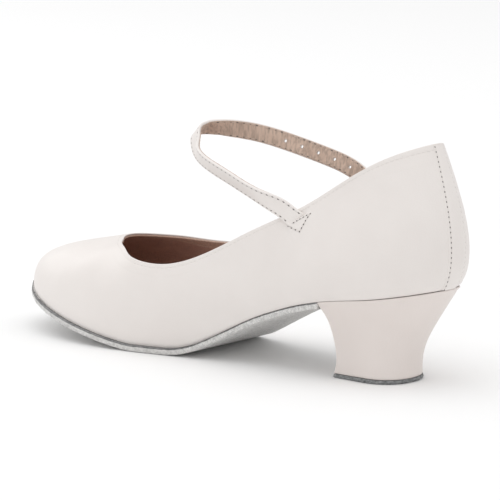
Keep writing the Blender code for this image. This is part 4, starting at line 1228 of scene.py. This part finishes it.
def make_strap():
    frame = strap_frame(620)
    path, _, _, lengths, _ = frame
    # The free end is round: share of the width left near it
    left = np.clip((lengths[-1] - lengths) / (STRAP_WIDTH / 2), 0.0, 1.0)
    tip = np.sqrt(np.clip(1 - (1 - left)**2, 0.02, 1.0))
    tip = np.stack([tip, np.ones_like(tip)], 1)[:, None]
    outer = round_band(STRAP_WIDTH, STRAP_OUTER, 0.00045, 4, 31)
    rows = np.exp(-((np.abs(outer[:, 0]) - STRAP_WIDTH / 2 + EDGE_SEAM) / 0.0004)**2)
    outer[:, 1] -= np.where(outer[:, 1] > 0.4 * STRAP_OUTER, 0.00012 * rows, 0.0)
    outer[:, 1] += (STRAP_THICK - STRAP_OUTER) / 2
    points, faces = loft(strap_rows(frame, outer * tip))
    leather = piece("strap_leather", points, faces, WHITE)
    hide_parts("strap")
    inner = round_band(STRAP_WIDTH - 2 * STRAP_INSET, STRAP_THICK - STRAP_OUTER, 0.0002, 3, 21)
    inner[:, 1] -= STRAP_OUTER / 2
    sections = inner * tip
    creases = np.array([rough(s * 420.0, 0.0, 0.0) for s in lengths])
    sections[..., 1] -= 0.00012 * creases[:, None] * (inner[:, 1] < -STRAP_OUTER / 2)
    points, faces = loft(strap_rows(frame, sections))
    lining = piece("strap_lining", points, faces, STRAP_LINING)
    window = 0.5 * np.sum(buckle_bar_points()[:2], axis=0)
    prong = lengths[np.argmin(np.linalg.norm(path - window, axis=1))]
    for k in range(1, HOLE_COUNT + 1):
        punch_hole((leather, lining), frame, prong - k * HOLE_PITCH, k)
    stitch_strap(frame)


def punch_hole(straps, frame, place, number):
    here, side, way = (at_marks(place, frame[3], field) for field in frame[:3])
    ahead = np.cross(side, way)
    ring = np.array(circle(HOLE_DIAMETER / 2, 24)) @ np.stack([side, ahead])
    points, faces = loft([here + ring - 0.003 * way, here + ring + 0.003 * way])
    for strap in straps:
        cut(strap, points, faces)
    ways = np.array(circle(1.0, 32)) @ np.stack([side, ahead])
    rim = here - (STRAP_THICK / 2 - 0.0001) * way + (HOLE_DIAMETER / 2 - 0.00002) * ways
    points, faces = band(rim, ways, np.repeat(-way[None], len(ways), 0), circle(0.00022, 8),
                         closed=True)
    piece(f"hole_rim_{number}", points, faces, THREAD_TAN, crease=60)


def stitch_strap(frame):
    _, _, out, lengths, _ = frame
    from_end = lengths[-1] - lengths
    use = (lengths > 0.0042) & (from_end > 0.004)
    for side, name in ((1, "one"), (-1, "two")):
        edge = side * (STRAP_WIDTH / 2 - EDGE_SEAM)
        face = on_strap(frame, edge, STRAP_THICK / 2 - 0.00010)
        seam(f"strap_stitches_{name}", face[use], out[use], 0.0029)
        back = on_strap(frame, edge, 0.00004 - STRAP_THICK / 2)
        seam(f"strap_lining_stitches_{name}", back[use], -out[use], 0.0029, INNER_THREAD)


def make_buckle():
    free_bar, tab_bar, across = buckle_bar_points()
    length = np.linalg.norm(tab_bar - free_bar)
    ahead = (tab_bar - free_bar) / length
    across = unit(across - np.dot(across, ahead) * ahead)
    out = np.cross(ahead, across)
    half = (STRAP_WIDTH + BUCKLE_PLAY + BUCKLE_WIRE) / 2
    centre = 0.5 * (free_bar + tab_bar)
    path, ways = [], []
    for k, (sx, sy) in enumerate(((1, 1), (-1, 1), (-1, -1), (1, -1))):
        corner = (centre + sx * (length / 2 - BUCKLE_CORNER) * ahead
                  + sy * (half - BUCKLE_CORNER) * across)
        for step in range(13):
            angle = math.pi / 2 * (k + step / 12)
            ways.append(math.cos(angle) * ahead + math.sin(angle) * across)
            path.append(corner + BUCKLE_CORNER * ways[-1])
    points, faces = band(np.array(path), np.array(ways), np.repeat(out[None], len(path), 0),
                         circle(BUCKLE_WIRE / 2, 20), closed=True)
    ring = piece("buckle_ring", points, faces, METAL, crease=40)
    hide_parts("buckle_frame")


def make_tab():
    low = JOIN_GAP + TAB_THICK / 2
    high = low + TAB_THICK + JOIN_GAP
    rows = [(TAB_BAR_AT + TAB_LENGTH * share, low) for share in np.linspace(1.0, 0.1, 12)]
    for angle in np.linspace(0.0, math.pi, 25):
        rows.append((TAB_BAR_AT - TAB_BEND * math.sin(angle),
                     TAB_BAR - TAB_BEND * math.cos(angle)))
    rows.append((TAB_BAR_AT + TAB_LENGTH * 0.2, 0.45 * high + 0.55 * (TAB_BAR + TAB_BEND)))
    rows += [(TAB_BAR_AT + TAB_LENGTH * share, high) for share in np.linspace(0.42, 1.0, 10)]
    path = np.array([OUTER_RUN.at(distance, height) for distance, height in rows])
    across = np.array([OUTER_RUN.frame(distance)[2] for distance, _ in rows])
    out = unit(np.cross(unit(np.gradient(path, axis=0)), across))
    points, faces = band(path, across, out, round_band(TAB_WIDTH, TAB_THICK, 0.0003, 3, 9))
    tab = piece("buckle_tab_leather", points, faces, WHITE)
    # The prong's slot, cut through the turn
    centre, way, side, up = OUTER_RUN.frame(TAB_BAR_AT)
    slot, foot = (PRONG_WIRE + 4 * JOIN_GAP) / 2, -TAB_BEND - 0.6 * TAB_THICK
    block = [[centre + TAB_BAR * up + a * way + b * side + c * up
              for b, c in ((-slot, foot), (slot, foot), (slot, 3 * TAB_BEND), (-slot, 3 * TAB_BEND))]
             for a in (-2 * TAB_BEND, 1.7 * TAB_BEND)]
    cut(tab, *loft(block))
    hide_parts("buckle_tab")


def make_prong():
    free_bar, tab_bar, _ = buckle_bar_points()
    _, ahead, across, out = OUTER_RUN.frame(TAB_BAR_AT)
    turn = BUCKLE_WIRE / 2 + JOIN_GAP + PRONG_WIRE / 2
    places = [tab_bar + turn * (math.cos(a) * ahead + math.sin(a) * out)
              for a in np.radians(np.linspace(-60, 90, 19))]
    root, tip = places[-1], free_bar + turn * out - PRONG_TIP * ahead
    places += [root + share * (tip - root) for share in np.linspace(0.1, 1.0, 10)]
    path = np.array(places)
    forward = unit(np.gradient(path, axis=0))
    normal = unit(np.cross(forward, across))
    taper = np.interp(np.arange(len(path)), (0, len(path) - 3, len(path) - 1), (1.0, 0.9, 0.55))
    wire = np.array(circle(PRONG_WIRE / 2, 16)) * taper[:, None, None]
    points, faces = band(path, np.cross(normal, forward), normal, wire)
    prong = piece("buckle_pin", points, faces, METAL, crease=60)
    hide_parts("buckle_prong")


# Camera, floor and light

CAMERA_TURN, CAMERA_LIFT = math.radians(40.0), math.radians(9.96)
CAMERA_DISTANCE = 1.6774
CAMERA_TARGET = Vector((-0.07467, 0.0, 0.0462))
CAMERA_LENS = 277.45


def make_camera():
    data = bpy.data.cameras.new("camera")
    data.lens, data.sensor_width = CAMERA_LENS, 36.0
    data.clip_start, data.clip_end = 0.05, 50.0
    camera = linked("camera", data)
    back = Vector((math.sin(CAMERA_TURN) * math.cos(CAMERA_LIFT),
                   -math.cos(CAMERA_TURN) * math.cos(CAMERA_LIFT), math.sin(CAMERA_LIFT)))
    camera.location = CAMERA_TARGET + CAMERA_DISTANCE * back
    camera.rotation_euler = (-back).to_track_quat("-Z", "Y").to_euler()
    bpy.context.scene.camera = camera


def make_light(name, place, size, power, aim=(-0.07, 0.0, 0.05)):
    data = bpy.data.lights.new(name, "AREA")
    data.shape, data.size, data.energy = "SQUARE", size, power
    lamp = linked(name, data)
    lamp.location = place
    lamp.rotation_euler = (Vector(aim) - Vector(place)).to_track_quat("-Z", "Y").to_euler()


def make_stage():
    look = Look("floor", Specular_IOR_Level=0.1, Roughness=0.9)
    look.shader.inputs["Base Color"].default_value = (0.93, 0.93, 0.93, 1.0)
    mesh = bpy.data.meshes.new("floor")
    half = 8.0
    mesh.from_pydata([(-half, -half, -0.0002), (half, -half, -0.0002), (half, half, -0.0002),
                      (-half, half, -0.0002)], [], [(0, 1, 2, 3)])
    mesh.materials.append(look.mat)
    floor = linked("floor", mesh)
    world = bpy.data.worlds.new("studio")
    world.use_nodes = True
    nodes, links = world.node_tree.nodes, world.node_tree.links
    split = nodes.new("ShaderNodeSeparateXYZ")
    ramp = nodes.new("ShaderNodeValToRGB")
    ramp.color_ramp.elements[0].position, ramp.color_ramp.elements[1].position = 0.0, 0.75
    ramp.color_ramp.elements[0].color = (0.70, 0.70, 0.70, 1.0)
    ramp.color_ramp.elements[1].color = (1.0, 1.0, 1.0, 1.0)
    links.new(nodes.new("ShaderNodeTexCoord").outputs["Generated"], split.inputs["Vector"])
    links.new(split.outputs["Z"], ramp.inputs["Fac"])
    links.new(ramp.outputs["Color"], nodes["Background"].inputs["Color"])
    nodes["Background"].inputs["Strength"].default_value = 0.96
    bpy.context.scene.world = world
    bpy.context.scene.view_settings.view_transform = "Standard"
    make_light("key", (-0.2, -0.3, 1.7), 1.6, 6.5)
    make_light("fill", (-1.6, 0.2, 0.9), 1.0, 3.0)


make_camera()
make_stage()
make_upper()
make_lining()
make_top_seam()
make_back_strip()
make_slit_stitches()
make_insole()
make_outsole()
make_heel()
make_lift()
make_strap()
make_buckle()
make_tab()
make_prong()
